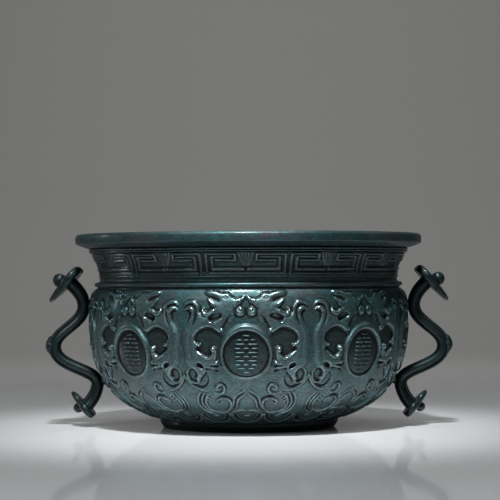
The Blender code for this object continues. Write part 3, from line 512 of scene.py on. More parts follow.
class StudioSettings(bpy.types.PropertyGroup):
    """Colours and strengths of the studio that a user may change."""

    floor_colour: colour_setting("Floor", "Pale floor under the bowl", (0.712, 0.728, 0.752))
    wall_colour: colour_setting("Backdrop", "Grey backdrop behind the bowl", (0.30, 0.30, 0.29))
    key_power: power_setting(
        "Key power", "Power of the soft spot that lights the bowl and the floor", 173.0, 1000.0)
    overhead_power: power_setting(
        "Overhead power", "Power of the softbox above the bowl", 3.4)
    front_power: power_setting("Front power", "Power of the softbox above the camera", 4.0)
    side_power: power_setting("Side power", "Power of the narrow side softboxes", 2.4)
    floor_power: power_setting(
        "Floor power", "Power of the softbox over the floor in front of the bowl", 2.6)
    wall_power: power_setting("Backdrop power", "Power of the light on the backdrop", 14.0)


def cubic(points, steps):
    """Points of a cubic Bezier curve as an array."""
    t = np.linspace(0.0, 1.0, steps + 1)[:, None]
    p = np.array(points, float)
    return ((1 - t) ** 3 * p[0] + 3 * (1 - t) ** 2 * t * p[1]
            + 3 * (1 - t) * t ** 2 * p[2] + t ** 3 * p[3])


def belly_profile():
    """Radius and height of the belly's ground from the shoulder down to the foot."""
    upper = cubic(((SHOULDER_RADIUS, BELLY_TOP),
                   (SHOULDER_RADIUS + SHOULDER_EASE[0], BELLY_TOP - SHOULDER_EASE[1]),
                   (BELLY_RADIUS, BELLY_WIDEST + SHOULDER_REACH),
                   (BELLY_RADIUS, BELLY_WIDEST)), SHOULDER_STEPS)
    lower = cubic(((BELLY_RADIUS, BELLY_WIDEST), (BELLY_RADIUS, BELLY_WIDEST - BELLY_REACH),
                   (FOOT_TOP_RADIUS + FOOT_REACH * math.cos(FOOT_SLOPE),
                    FOOT_HEIGHT + FOOT_REACH * math.sin(FOOT_SLOPE)),
                   (FOOT_TOP_RADIUS, FOOT_HEIGHT)), BELLY_STEPS)
    return np.vstack([upper[:-1], lower])


def frieze_profile():
    """Radius and height of the fret belt's ground from its top down to the cove."""
    return cubic(((FRIEZE_TOP_RADIUS, FRIEZE_TOP),
                  (FRIEZE_TOP_RADIUS - FLARE_EASE[0], FRIEZE_TOP - FLARE_EASE[1]),
                  (NECK_RADIUS, FRIEZE_BOTTOM + NECK_REACH), (NECK_RADIUS, FRIEZE_BOTTOM)),
                 NECK_STEPS)


def outward_directions(profile):
    """Outward direction at each point of a falling profile."""
    along = np.gradient(profile, axis=0)
    along /= np.linalg.norm(along, axis=1)[:, None]
    return np.stack([-along[:, 1], along[:, 0]], axis=1)


def shifted_profile(profile, distance):
    """Profile moved outwards by a distance, or inwards by a negative one."""
    return profile + outward_directions(profile) * distance


class Belt:
    """Turned ground that carries mirrored ornament panels."""

    def __init__(self, profile, pairs, drawn_depth=None):
        self.profile = profile
        self.directions = outward_directions(profile)
        self.half_angle = math.pi / pairs
        steps = np.linalg.norm(np.diff(profile, axis=0), axis=1)
        if drawn_depth:
            steps = steps / (0.5 * (profile[1:, 0] + profile[:-1, 0]))
        run = np.concatenate([[0.0], np.cumsum(steps)])
        self.depth = drawn_depth or run[-1]
        self.run = run * self.depth / run[-1]

    def place(self, across, down, lift):
        """Points for places on half a panel whose middle axis points along +X."""
        radius, height, out_r, out_z = (
            np.interp(down, self.run, column)
            for column in (*self.profile.T, *self.directions.T))
        angle = across * self.half_angle
        reach = radius + out_r * lift
        return np.stack([reach * np.cos(angle), reach * np.sin(angle), height + out_z * lift],
                        axis=-1)


BELLY = Belt(belly_profile(), SECTORS, BELLY_DEPTH)
FRIEZE = Belt(frieze_profile(), FRET_PAIRS)


def smooth_path(knots, closed=False):
    """Points of a smooth curve through the knots."""
    knots = np.array(knots, float)
    if closed:
        ring = np.vstack([knots[-1:], knots, knots[:2]])
    else:
        ring = np.vstack([2 * knots[:1] - knots[1:2], knots, 2 * knots[-1:] - knots[-2:-1]])
    t = np.linspace(0.0, 1.0, PATH_PIECES, endpoint=False)[None, :, None]
    p0, p1, p2, p3 = (ring[i:len(ring) - 3 + i][:, None, :] for i in range(4))
    curve = 0.5 * (2 * p1 + (p2 - p0) * t + (2 * p0 - 5 * p1 + 4 * p2 - p3) * t * t
                   + (3 * (p1 - p2) + p3 - p0) * t ** 3)
    points = curve.reshape(-1, 2)
    return points if closed else np.vstack([points, knots[-1:]])


def distance_to_path(x, y, path, closed=False):
    """Distance from each place to a path, and the share of the path's run where it is met."""
    ends = np.vstack([path, path[:1]]) if closed else path
    lengths = np.linalg.norm(np.diff(ends, axis=0), axis=1)
    starts = np.concatenate([[0.0], np.cumsum(lengths)])
    best = np.full(x.shape, np.inf)
    share = np.zeros(x.shape)
    for (x0, y0), (x1, y1), length, start in zip(ends, ends[1:], lengths, starts):
        if length <= 0.0:
            continue
        dx, dy = x1 - x0, y1 - y0
        t = np.clip(((x - x0) * dx + (y - y0) * dy) / length ** 2, 0.0, 1.0)
        away = np.hypot(x - x0 - t * dx, y - y0 - t * dy)
        nearer = away < best
        best = np.where(nearer, away, best)
        share = np.where(nearer, (start + t * length) / starts[-1], share)
    return best, share


def depth_inside(x, y, knots):
    """Distance from a closed outline, above zero inside it and below zero outside."""
    path = smooth_path(knots, closed=True)
    away, _ = distance_to_path(x, y, path, closed=True)
    inside = np.zeros(x.shape, bool)
    for (x0, y0), (x1, y1) in zip(path, np.roll(path, -1, axis=0)):
        if y0 != y1:
            crosses = (y0 > y) != (y1 > y)
            inside ^= crosses & (x < (x1 - x0) * (y - y0) / (y1 - y0) + x0)
    return np.where(inside, away, -away)


def ramp(value, start, end):
    """Straight climb from 0 at the start to 1 at the end."""
    return np.clip((value - start) / (end - start), 0.0, 1.0)


def rounded(distance, width):
    """Rise of a rounded edge from 0 at its foot to 1 at a width inside it."""
    t = np.clip(distance / width, 0.0, 1.0)
    return np.sqrt(np.maximum(0.0, 1.0 - (1.0 - t) ** 2))


def eased(distance, width):
    """Smooth step from 0 to 1 over a width that is centred on the edge."""
    t = np.clip(distance / width + 0.5, 0.0, 1.0)
    return t * t * (3.0 - 2.0 * t)


def raised(lift, rise, start, height):
    """Lift under a form that climbs from a start to a height, where it is the higher of both."""
    return np.where(rise > 0, np.maximum(lift, start + (height - start) * rise), lift)


def ridge(x, y, knots, half_width, taper=(0.0, 0.0)):
    """Rounded ridge of height 1 along a path, thinned towards the ends that have a taper."""
    away, share = distance_to_path(x, y, smooth_path(knots))
    width = np.full(x.shape, half_width)
    for run, reach in zip((share, 1.0 - share), taper):
        if reach:
            width *= np.clip(run / reach, 0.25, 1.0)
    return rounded(width - away, width) * np.sqrt(width / half_width)


def knob(x, y, centre, radius):
    """Half ball of height 1 about a centre."""
    return rounded(radius - np.hypot(x - centre[0], y - centre[1]), radius)


def ellipse_reach(x, y, ellipse):
    """Share of the way from the middle of an ellipse to its edge, which is at 1."""
    down, wide, tall = ellipse
    return np.hypot(x / wide, (y - down) / tall)


def blurred(values, passes, reach):
    """Values smoothed along rows and columns, mirrored at the edges."""
    out = values.copy()
    window = 2 * reach + 1
    for _ in range(passes):
        for axis in (0, 1):
            pad = [(0, 0), (0, 0)]
            pad[axis] = (reach, reach)
            wide = np.pad(out, pad, mode="reflect")
            count = out.shape[axis]
            out = sum(np.take(wide, range(i, i + count), axis=axis) for i in range(window))
            out = out / window
    return out


def petal_lift(x, y):
    """Rise and hollow of the lotus petals that hang round the foot of the belly."""
    rise = np.zeros(x.shape)
    hollow = np.zeros(x.shape)
    pitch = 2.0 / PETALS_PER_SECTOR
    under = y > PETAL_TOP
    bud_down, bud_wide, bud_tall, bud_height, bud_edge = BUD
    inside, edge, share = PETAL_HOLLOW
    for index in range(-1, PETALS_PER_SECTOR):
        aside = x - index * pitch
        reach = np.hypot(aside / (0.5 * pitch), (y - PETAL_TOP) / PETAL_HEIGHT)
        for at, half_width, height in PETAL_LINES:
            line = rounded(half_width - np.abs(reach - at), half_width)
            rise = np.maximum(rise, height * np.where(under, line, 0.0))
        bud = ellipse_reach(aside, y, (bud_down, bud_wide, bud_tall))
        rise = np.maximum(rise, bud_height * rounded(1.0 - bud, bud_edge))
        hollow = np.maximum(hollow, np.where(under, eased(inside - reach, edge), 0.0))
    return rise, share * hollow


def belly_forms(x, y, sizes, lift, under_handle):
    """Lift with the dragon's body, horn, tuft, mane and ribbon, and the pocket under it."""
    body, low = sizes.body_relief, sizes.hollow_depth
    for outline, edge, share in () if under_handle else OPEN_FORMS:
        lift = raised(lift, rounded(depth_inside(x, y, outline), edge), 0.0, share * body)
    inside = depth_inside(x, y, DRAGON)
    rise = sum(share * rounded(inside, edge) for edge, share in DRAGON_EDGES)
    lift = raised(lift, rise, -low, body)
    mane_rise, mane_edge, half_width = MANE
    soft = ramp(y, 0.40, 0.65)
    crisp = ridge(x, y, RIBBON, half_width, (0.10, 0.0))
    rise = np.where(crisp > 0, (0.40 + 0.75 * crisp) * (1.0 - soft), 0.0)
    lift = raised(lift, rise, 0.0, body)
    away, _ = distance_to_path(x, y, smooth_path(RIBBON))
    bell = 0.5 + 0.5 * np.cos(math.pi * ramp(away, 0.0, mane_edge))
    lift = lift + np.maximum(mane_rise * body - lift, 0.0) * bell * soft
    return lift - (lift - POCKET_HEIGHT) * eased(depth_inside(x, y, POCKET), POCKET_EDGE)


def belly_lift(x, y, sizes, under_handle):
    """Height of the belly's ornament above its ground over half a panel."""
    low, body, line = sizes.hollow_depth, sizes.body_relief, sizes.line_relief
    lift = -low * eased(depth_inside(x, y, ROUND_HOLLOW), 0.026)
    petals, petal_hollow = petal_lift(x, y)
    lift -= low * petal_hollow
    lift = raised(lift, petals, -PETAL_HOLLOW[2] * low, 0.8 * line)
    lift = lift + BAND_SWELL * eased(depth_inside(x, y, FOOT_BAND), 0.07)
    vase = eased(depth_inside(x, y, VASE_HOLLOW) + 0.05, 0.12)
    lift = lift + VASE_SWELL * vase * ramp(y, 0.42, 0.72)
    lift = belly_forms(x, y, sizes, lift, under_handle)

    for measure, share, half_width, taper, paths in RIDGES + (() if under_handle else OPEN_RIDGES):
        height = share * (body if measure == "body" else line)
        for path in paths:
            lift = raised(lift, ridge(x, y, path, half_width, taper), 0.3 * lift, height)
    for centre, radius, share in BEADS + (() if under_handle else (PEARL,)):
        lift = raised(lift, knob(x, y, centre, radius), -low, body * share)
    for depth, half_width, thinning, paths in GROOVES + (() if under_handle else OPEN_GROOVES):
        for path in paths:
            lift = lift - depth * ridge(x, y, path, half_width, (thinning, thinning))

    shallow = np.maximum(ramp(y, 0.30, 0.44), 0.45)
    for outline, edge, level in LATE_HOLLOWS:
        share = eased(depth_inside(x, y, outline), edge)
        share = share * shallow if outline is LEAF_HOLLOW else share
        lift = lift - (lift - (-low if level is None else level)) * share
    wide, tall, depth, edge = SOCKET
    socket = np.abs((x - EYE[0]) / wide) ** 1.4 + np.abs((y - EYE[1]) / tall) ** 1.4
    radius, height = EYEBALL
    lift = lift - depth * rounded(1.0 - socket, edge) + height * knob(x, y, EYE, radius)

    outside = RING_OUTSIDE[1] * (1.0 - ellipse_reach(x, y, RING_OUTSIDE))
    inside = RING_INSIDE[1] * (ellipse_reach(x, y, RING_INSIDE) - 1.0)
    disc = eased(-inside, 0.008)
    down, _, tall = RING_INSIDE
    floor = np.interp(y, (down - tall, down + tall), DISC_HEIGHTS)
    coin = floor + (sizes.ring_relief - floor) * rounded(outside, 0.040) * rounded(inside, 0.016)
    lift = np.where(outside > 0, np.where(disc > 0, coin, np.maximum(lift, coin)), lift)
    lift = lift * (1.0 - disc) + coin * disc
    edge = ramp(y, 0.0, 0.03) * ramp(BELLY_DEPTH - y, 0.0, 0.05)
    return np.clip(lift, *LIFT_LIMITS) * edge


def fret_lift(x, y, sizes):
    """Height of one key fret above the neck; x and y are metres across and down."""
    rise = sizes.fret_relief
    low = 0.5 * rise
    left, right = (share * FRET_WIDTH for share in FRET_FIELD_SIDES)
    upper, lower = (FRIEZE_TOP - height for height in FRET_FIELD_HEIGHTS)
    field = np.minimum.reduce([
        eased(x - left, FRET_EDGE), eased(right - x, FRET_EDGE),
        eased(y - upper, FRET_EDGE), eased(lower - y, FRET_EDGE)])
    share, down = FRET_GAP
    gap = np.minimum(eased(x - share * FRET_WIDTH, 0.8 * FRET_EDGE), eased(y - down, FRET_EDGE))
    lift = -low * np.maximum(field, gap)
    for corners, half_width in FRET_BARS:
        path = np.array([(share * FRET_WIDTH, FRIEZE_TOP - z * 0.001) for share, z in corners])
        away, _ = distance_to_path(x, y, path)
        lift = raised(lift, rounded(half_width - away, 0.00045), -low, rise)
    spread = ramp(y, 0.0, 0.0095)
    for start, end in FAN_RIBS:
        away = np.abs(x - (start + (end - start) * spread) * FRET_WIDTH)
        rib = rounded(0.00085 - away, 0.0007) * eased(FAN_DEPTH - y, 0.0016)
        lift = raised(lift, rib, 0.0, FAN_HEIGHT * rise)
    height, half_width, share = NECK_LINE
    line = rounded(half_width - np.abs(y - (FRIEZE_TOP - height)), half_width)
    lift = np.maximum(lift, share * rise * line)
    return lift * ramp(y, 0.0, 0.0006) * ramp(FRIEZE.depth - y, 0.0, 0.0006)


def reworked(mesh, change):
    """Mesh whose editable data has gone through a change."""
    data = bmesh.new()
    data.from_mesh(mesh)
    change(data)
    data.to_mesh(mesh)
    data.free()
    return mesh


def smooth_faces(data):
    """Shades every face of a mesh's editable data smooth."""
    for face in data.faces:
        face.smooth = True


def add_values(mesh, name, values):
    """Stores a number for each vertex of a mesh."""
    layer = mesh.attributes.new(name, "FLOAT", "POINT")
    layer.data.foreach_set("value", np.ascontiguousarray(values, np.float32).ravel())


def new_mesh(name, places, faces):
    """Mesh from arrays of places and faces."""
    mesh = bpy.data.meshes.new(name)
    places = np.asarray(places, float).reshape(-1, 3).tolist()
    mesh.from_pydata(places, [], [list(face) for face in faces])
    mesh.update()
    return mesh


def vertex_array(mesh, key):
    """Places or normals of a mesh's vertices, one row each."""
    values = np.zeros(len(mesh.vertices) * 3)
    mesh.vertices.foreach_get(key, values)
    return values.reshape(-1, 3)


def grid_faces(rows, columns, start=0, flip=False):
    """Quads of a grid of vertices that are stored row by row."""
    i, j = np.meshgrid(np.arange(rows - 1), np.arange(columns - 1), indexing="ij")
    a = (start + i * columns + j).ravel()
    quads = np.stack([a, a + 1, a + columns + 1, a + columns], axis=1)
    return quads[:, ::-1] if flip else quads


def panel_mesh(name, belt, across, down, lift, crest, inner_rows):
    """Half a panel with its relief outside, a plain inner side and closed upper and lower edges."""
    rows, columns = len(down), len(across)
    outer = belt.place(*np.meshgrid(across, down), lift).reshape(-1, 3)
    inner_x, inner_y = np.meshgrid(across, np.linspace(down[0], down[-1], inner_rows))
    inner = belt.place(inner_x, inner_y, np.full(inner_x.shape, -PANEL_BACK)).reshape(-1, 3)
    start = rows * columns
    j = np.arange(columns - 1)
    a, b = (rows - 1) * columns + j, start + (inner_rows - 1) * columns + j
    faces = np.vstack([grid_faces(rows, columns, flip=True), grid_faces(inner_rows, columns, start),
                       np.stack([j, j + 1, start + j + 1, start + j], axis=1),
                       np.stack([a + 1, a, b, b + 1], axis=1)])
    mesh = new_mesh(name, np.vstack([outer, inner]), faces.tolist())
    for key, values in (("lift", lift), ("crest", crest)):
        add_values(mesh, key, np.concatenate([values.ravel(), np.zeros(inner_x.size)]))
    return mesh


def crest_of(lift, cell, reach):
    """How far each place stands above or below its surroundings, from -1 to 1."""
    steps = max(1, int(round(reach / cell)))
    return np.clip((lift - blurred(lift, 2, steps)) / FULL_CREST, -1.0, 1.0)


def belly_panel(sizes, under_handle):
    """Half a belly panel as a mesh, with its middle axis along +X."""
    columns = sizes.belly_columns
    across = np.linspace(0.0, 1.0, columns + 1)
    fine_rows = int(round(FINE_DEPTH * columns * 1.04))
    coarse_rows = int(round((BELLY_DEPTH - FINE_DEPTH) * columns * 0.62))
    down = np.concatenate([np.linspace(0.0, FINE_DEPTH, fine_rows, endpoint=False),
                           np.linspace(FINE_DEPTH, BELLY_DEPTH, coarse_rows)])
    x, y = np.meshgrid(across, down)
    lift = belly_lift(x, y, sizes, under_handle)
    lift = 0.35 * lift + 0.65 * blurred(lift, 1, 1)
    lift[0] = lift[-1] = 0.0
    crest = crest_of(lift, PANEL_HALF_WIDTH / columns, CREST_REACH)
    # Crest weakened round the medallion ring: less dark patina and painted shade just outside it,
    # less painted highlight on the ring
    beyond = RING_OUTSIDE[1] * (ellipse_reach(x, y, RING_OUTSIDE) - 1.0)
    crest = np.where((beyond > -0.01) & (beyond < 0.05) & (crest < 0.0), 0.35 * crest, crest)
    crest = np.where((beyond > -0.06) & (beyond < 0.0) & (crest > 0.0), 0.65 * crest, crest)
    name = "belly_panel_under_handle" if under_handle else "belly_panel"
    return panel_mesh(name, BELLY, across, down, lift, crest, 12)


def fret_panel(sizes):
    """One key fret as a mesh, with its middle axis along +X."""
    columns = sizes.fret_columns
    across = np.linspace(0.0, 1.0, columns + 1)
    down = np.linspace(0.0, FRIEZE.depth, int(round(columns * 0.62)))
    lift = fret_lift(*np.meshgrid(across * FRET_WIDTH, down), sizes)
    crest = crest_of(lift, FRET_WIDTH / columns, FRET_CREST_REACH)
    return panel_mesh("fret_panel", FRIEZE, across, down, lift, crest, 3)


def add_node(tree, kind, inputs=None, **settings):
    """Node with its settings, and with inputs that are sockets to link or plain values."""
    node = tree.nodes.new(kind)
    for name, value in settings.items():
        setattr(node, name, value)
    for key, value in (inputs or {}).items():
        if isinstance(value, bpy.types.NodeSocket):
            tree.links.new(value, node.inputs[key])
        else:
            node.inputs[key].default_value = value
    return node


def node_group(name, kind, inputs, outputs):
    """Node group with sockets of (label, type, default); returns it, its inputs and its end."""
    tree = bpy.data.node_groups.new(name, kind)
    for way, sockets in (("INPUT", inputs), ("OUTPUT", outputs)):
        for label, sort, *default in sockets:
            socket = tree.interface.new_socket(label, in_out=way, socket_type="NodeSocket" + sort)
            if default:
                socket.default_value = default[0]
    return tree, tree.nodes.new("NodeGroupInput").outputs, tree.nodes.new("NodeGroupOutput")


def made_once(name, make):
    """Node group of a name, made on its first use."""
    return bpy.data.node_groups.get(name) or make(name)


def maths(tree, operation, first, second):
    """Math node whose inputs are sockets or numbers; returns its output."""
    node = add_node(tree, "ShaderNodeMath", {0: first, 1: second}, operation=operation)
    return node.outputs[0]


def finish_tree(tree, geometry, given, leave, merge=True):
    """Realizes the instances, merges their seams and sets the material at the end of a tree."""
    last = add_node(tree, "GeometryNodeRealizeInstances", {"Geometry": geometry}).outputs[0]
    if merge:
        last = add_node(tree, "GeometryNodeMergeByDistance",
                        {"Geometry": last, "Distance": given["Seam"]}).outputs[0]
    paint = add_node(tree, "GeometryNodeSetMaterial",
                     {"Geometry": last, "Material": given["Material"]})
    tree.links.new(paint.outputs["Geometry"], leave.inputs["Geometry"])
    return tree


def round_the_axis(tree, given, geometry):
    """Instances a geometry round the Z axis; returns the socket of the instances."""
    points = add_node(tree, "GeometryNodePoints", {"Count": given["Count"]})
    index = tree.nodes.new("GeometryNodeInputIndex")
    turn = maths(tree, "MULTIPLY", index.outputs[0], given["Step"])
    turn = maths(tree, "ADD", turn, given["Start"])
    euler = add_node(tree, "ShaderNodeCombineXYZ", {"Z": turn})
    rotation = add_node(tree, "FunctionNodeEulerToRotation", {0: euler.outputs[0]})
    spread = add_node(tree, "GeometryNodeInstanceOnPoints", {
        "Points": points.outputs[0], "Instance": geometry, "Rotation": rotation.outputs[0]})
    return spread.outputs["Instances"]


def stored(tree, name, data_type="FLOAT"):
    """Value that a mesh stores for its vertices, read inside a geometry tree."""
    node = add_node(tree, "GeometryNodeInputNamedAttribute", {"Name": name}, data_type=data_type)
    return node.outputs["Attribute"]


def mirrored_belt_tree(name):
    """Tree that mirrors half a panel about its axis and repeats the pair round the bowl."""
    tree, given, leave = node_group(name, "GeometryNodeTree", (
        ("Geometry", "Geometry"), ("Count", "Int", 1), ("Start", "Float", 0.0),
        ("Step", "Float", 0.5), ("Seam", "Float", SEAM), ("Material", "Material")),
        (("Geometry", "Geometry"),))
    mirror = add_node(tree, "GeometryNodeTransform", {
        "Scale": (1.0, -1.0, 1.0), "Geometry": given["Geometry"]})
    flip = add_node(tree, "GeometryNodeFlipFaces", {"Mesh": mirror.outputs["Geometry"]})
    join = add_node(tree, "GeometryNodeJoinGeometry", {"Geometry": given["Geometry"]})
    tree.links.new(flip.outputs["Mesh"], join.inputs["Geometry"])
    around = round_the_axis(tree, given, join.outputs["Geometry"])
    return finish_tree(tree, around, given, leave)


def stroke_rows_tree(name):
    """Tree that sets a short stroke on every place of a medallion and repeats the medallions."""
    tree, given, leave = node_group(name, "GeometryNodeTree", (
        ("Geometry", "Geometry"), ("Stroke", "Object"), ("Count", "Int", SECTORS),
        ("Start", "Float", 0.0), ("Step", "Float", 0.5), ("Relief", "Float", 0.0006),
        ("Material", "Material")), (("Geometry", "Geometry"),))
    stroke = add_node(tree, "GeometryNodeObjectInfo", {"Object": given["Stroke"]})
    axes = add_node(tree, "FunctionNodeAxesToRotation", {
        "Primary Axis": stored(tree, "facing", "FLOAT_VECTOR"),
        "Secondary Axis": stored(tree, "sideways", "FLOAT_VECTOR")},
        primary_axis="Z", secondary_axis="X")
    scale = add_node(tree, "ShaderNodeCombineXYZ", {
        "X": stored(tree, "length"), "Y": 1.0, "Z": given["Relief"]})
    place = add_node(tree, "GeometryNodeInstanceOnPoints", {
        "Points": given["Geometry"], "Instance": stroke.outputs["Geometry"],
        "Rotation": axes.outputs[0], "Scale": scale.outputs[0]})
    rows = add_node(tree, "GeometryNodeRealizeInstances", {"Geometry": place.outputs["Instances"]})
    around = round_the_axis(tree, given, rows.outputs["Geometry"])
    return finish_tree(tree, around, given, leave, merge=False)


def swept_bar_tree(name):
    """Tree that sweeps a cross-section along a curve and closes its ends."""
    tree, given, leave = node_group(name, "GeometryNodeTree", (
        ("Geometry", "Geometry"), ("Section", "Object"), ("Material", "Material")),
        (("Geometry", "Geometry"),))
    section = add_node(tree, "GeometryNodeObjectInfo", {"Object": given["Section"]})
    outline = add_node(tree, "GeometryNodeMeshToCurve", {"Mesh": section.outputs["Geometry"]})
    normal = add_node(tree, "GeometryNodeSetCurveNormal", {
        "Normal": (0.0, 1.0, 0.0), "Curve": given["Geometry"]}, mode="FREE")
    sweep = add_node(tree, "GeometryNodeCurveToMesh", {
        "Curve": normal.outputs["Curve"], "Profile Curve": outline.outputs["Curve"],
        "Scale": stored(tree, "radius"), "Fill Caps": True})
    return finish_tree(tree, sweep.outputs["Mesh"], given, leave, merge=False)


def grown(name, source, tree, values):
    """Plain mesh that a node tree grows from an object; the source object goes."""
    bpy.context.scene.collection.objects.link(source)
    modifier = source.modifiers.new(name, "NODES")
    modifier.node_group = tree
    keys = {item.name: item.identifier for item in tree.interface.items_tree
            if item.in_out == "INPUT"}
    for label, value in values.items():
        modifier[keys[label]] = value
    bpy.context.view_layer.update()
    graph = bpy.context.evaluated_depsgraph_get()
    mesh = bpy.data.meshes.new_from_object(source.evaluated_get(graph), depsgraph=graph)
    source.modifiers.remove(modifier)
    bpy.data.objects.remove(source)
    if not mesh.polygons:
        raise RuntimeError(f"{name}: the node tree made no faces")
    mesh.name = name
    return mesh


def close_ends(data):
    """Fills the open ends of a mesh's editable data with sharp edges round them."""
    open_edges = [edge for edge in data.edges if edge.is_boundary]
    if open_edges:
        made = bmesh.ops.holes_fill(data, edges=open_edges, sides=0)["faces"]
        bmesh.ops.triangulate(data, faces=made)
        for edge in open_edges:
            edge.smooth = False
    smooth_faces(data)


def crest_from_shape(mesh, scale, passes):
    """Stores how far each vertex stands out from its neighbours, from -1 to 1."""
    count = len(mesh.vertices)
    places, normals = vertex_array(mesh, "co"), vertex_array(mesh, "normal")
    ends = np.zeros(len(mesh.edges) * 2, int)
    mesh.edges.foreach_get("vertices", ends)
    one, two = ends.reshape(-1, 2).T
    span = places[two] - places[one]
    length = np.maximum(np.linalg.norm(span, axis=1), 1e-7)
    bend = np.bincount(one, np.einsum("ij,ij->i", normals[one], span) / length ** 2, count)
    bend -= np.bincount(two, np.einsum("ij,ij->i", normals[two], span) / length ** 2, count)
    used = np.maximum(np.bincount(one, minlength=count) + np.bincount(two, minlength=count), 1)
    crest = -bend / used * scale
    for _ in range(passes):
        total = np.bincount(one, crest[two], count) + np.bincount(two, crest[one], count)
        crest = 0.5 * crest + 0.5 * total / used
    for name, values in (("crest", np.clip(crest, -1.0, 1.0)), ("lift", np.zeros(count))):
        if name in mesh.attributes:
            mesh.attributes.remove(mesh.attributes[name])
        add_values(mesh, name, values)


def new_piece(name, mesh, material=None, node=None):
    """Object for a finished mesh that rides on the bowl and hides the imported part it stands in
    for.
    """
    if material is not None:
        mesh.materials.clear()
        mesh.materials.append(material)
    piece = bpy.data.objects.new(name, mesh)
    bpy.context.scene.collection.objects.link(piece)
    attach(piece, "root")
    if node:
        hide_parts(node)


def turned_mesh(name, profile, steps):
    """Closed mesh made by turning a profile of (radius, height) round the Z axis."""
    angles = np.linspace(0.0, FULL_TURN, steps, endpoint=False)
    places, rings = [], []
    for radius, height in profile:
        start = len(places)
        if radius == 0.0:
            places.append((0.0, 0.0, height))
            rings.append([start] * steps)
        else:
            places += [(radius * x, radius * y, height)
                       for x, y in zip(np.cos(angles), np.sin(angles))]
            rings.append(range(start, start + steps))
    faces = []
    for upper, lower in zip(rings, rings[1:]):
        for i in range(steps):
            ahead = (i + 1) % steps
            faces.append(list(dict.fromkeys((upper[i], upper[ahead], lower[ahead], lower[i]))))

    def face_outwards(data):
        bmesh.ops.recalc_face_normals(data, faces=data.faces)
        smooth_faces(data)

    return reworked(new_mesh(name, places, faces), face_outwards)


def softened(profile, radius, steps=3):
    """Profile whose corners are rounded by short curves."""
    points = np.array(profile, float)
    out = [points[0]]
    for before, here, after in zip(points, points[1:], points[2:]):
        one, two = before - here, after - here
        size_one, size_two = np.linalg.norm(one), np.linalg.norm(two)
        if np.dot(one, two) < STRAIGHT * size_one * size_two:
            out.append(here)
            continue
        reach = min(radius, 0.45 * size_one, 0.45 * size_two)
        start, end = here + one / size_one * reach, here + two / size_two * reach
        for t in np.linspace(0.0, 1.0, steps + 1):
            out.append((1 - t) ** 2 * start + 2 * t * (1 - t) * here + t * t * end)
    out.append(points[-1])
    return np.array(out)


def stepped(mouldings):
    """Places of a profile from radii, heights and the steps away from them."""
    return [(radius + aside * STEP, height + up * STEP)
            for radius, height, steps in mouldings for aside, up in steps]


def core_profile():
    """Profile of the bowl's body: floor, lining, lip, neck, collar, hidden wall and foot."""
    inner = shifted_profile(BELLY.profile, -WALL)[::-6]
    floor_edge = float(np.interp(FLOOR_TOP, inner[:, 1], inner[:, 0]))
    lining = [tuple(p) for p in inner if FLOOR_TOP + FLOOR_EASE < p[1] < BELLY_TOP - WALL]
    neck = shifted_profile(FRIEZE.profile, -FRET_BACKING)[8:-6:8]
    wall = shifted_profile(BELLY.profile, -BELLY_BACKING)[14:-12:8]
    profile = [
        (0.0, FLOOR_TOP), (floor_edge * 0.5, FLOOR_TOP), (floor_edge, FLOOR_TOP), *lining,
        (NECK_RADIUS - WALL, COLLAR_TOP), (NECK_RADIUS - WALL, FRIEZE_BOTTOM + NECK_REACH),
        (LINING_RADIUS, FRIEZE_TOP), *stepped(LIP_STEPS), *neck, *stepped(COLLAR_STEPS),
        *wall, *stepped(FOOT_STEPS),
    ]
    return softened(profile, CORNER_RADIUS)


def mark_points():
    """Places of the plain strokes on one medallion's disc, whose axis points along +X."""
    marks = []
    for row, (down, reach) in enumerate(MARK_ROWS):
        count = 1 if row in (0, len(MARK_ROWS) - 1) else 2 + row % 2
        width = 2.0 * reach / count
        marks += [(-reach + width * (column + 0.5), down, width - MARK_GAP)
                  for column in range(count)]
    return np.array(marks).T


def stroke_mesh():
    """Short rounded bar of unit length and height that lies along X with its back at Z = 0."""
    stations, around = 10, 8
    ring = around + 1
    places, faces = [], []
    for share in np.linspace(0.0, 1.0, stations):
        pinch = math.sqrt(max(1.0 - abs(2.0 * share - 1.0) ** 6, 0.02))
        for angle in np.linspace(0.0, math.pi, ring):
            places.append((share - 0.5, -STROKE_HALF_WIDTH * math.cos(angle) * pinch,
                           math.sin(angle) * pinch))
    for start in range(0, (stations - 1) * ring, ring):
        for a in range(start, start + around):
            faces.append((a, a + ring, a + ring + 1, a + 1))
        faces.append((start, start + around, start + ring + around, start + ring))
    faces.append(tuple(range(ring)))
    faces.append(tuple(reversed(range((stations - 1) * ring, stations * ring))))

    def face_outwards(data):
        bmesh.ops.recalc_face_normals(data, faces=data.faces)
        bmesh.ops.triangulate(data, faces=[f for f in data.faces if len(f.verts) > 4])

    return reworked(new_mesh("stroke", places, faces), face_outwards)


def seat_place(height):
    """Place on the belly's ground at a height on the +X side, and the outward direction."""
    heights = BELLY.profile[::-1, 1]
    radius, out_r, out_z = (
        float(np.interp(height, heights, column[::-1]))
        for column in (BELLY.profile[:, 0], *BELLY.directions.T))
    return Vector((radius, 0.0, height)), Vector((out_r, 0.0, out_z)).normalized()


def rod_stations():
    """Middle-line places of the right rod: upper end, upper seat, bend, lower seat, lower end."""
    seats, ends = [], []
    for height, head in ((UPPER_SEAT_Z, UPPER_HEAD), (LOWER_SEAT_Z, LOWER_HEAD)):
        ground, out = seat_place(height)
        seats.append(ground + out * (ROD_THICKNESS / 2.0 + SEAT_STANDOFF))
        ends.append(seats[-1] + Vector((head["offset"][0], 0.0, head["offset"][1])))
    return ends[0], seats[0], Vector((BEND_X, 0.0, BEND_Z)), seats[1], ends[1]


def head_directions(head):
    """Direction from a head's blunt back to its tip, and the way its face looks."""
    tilt, facing = math.radians(head["tilt"]), head["facing"]
    along = Vector((math.cos(tilt), 0.0, -facing * math.sin(tilt)))
    face = Vector((math.sin(tilt), 0.0, facing * math.cos(tilt)))
    return along, face


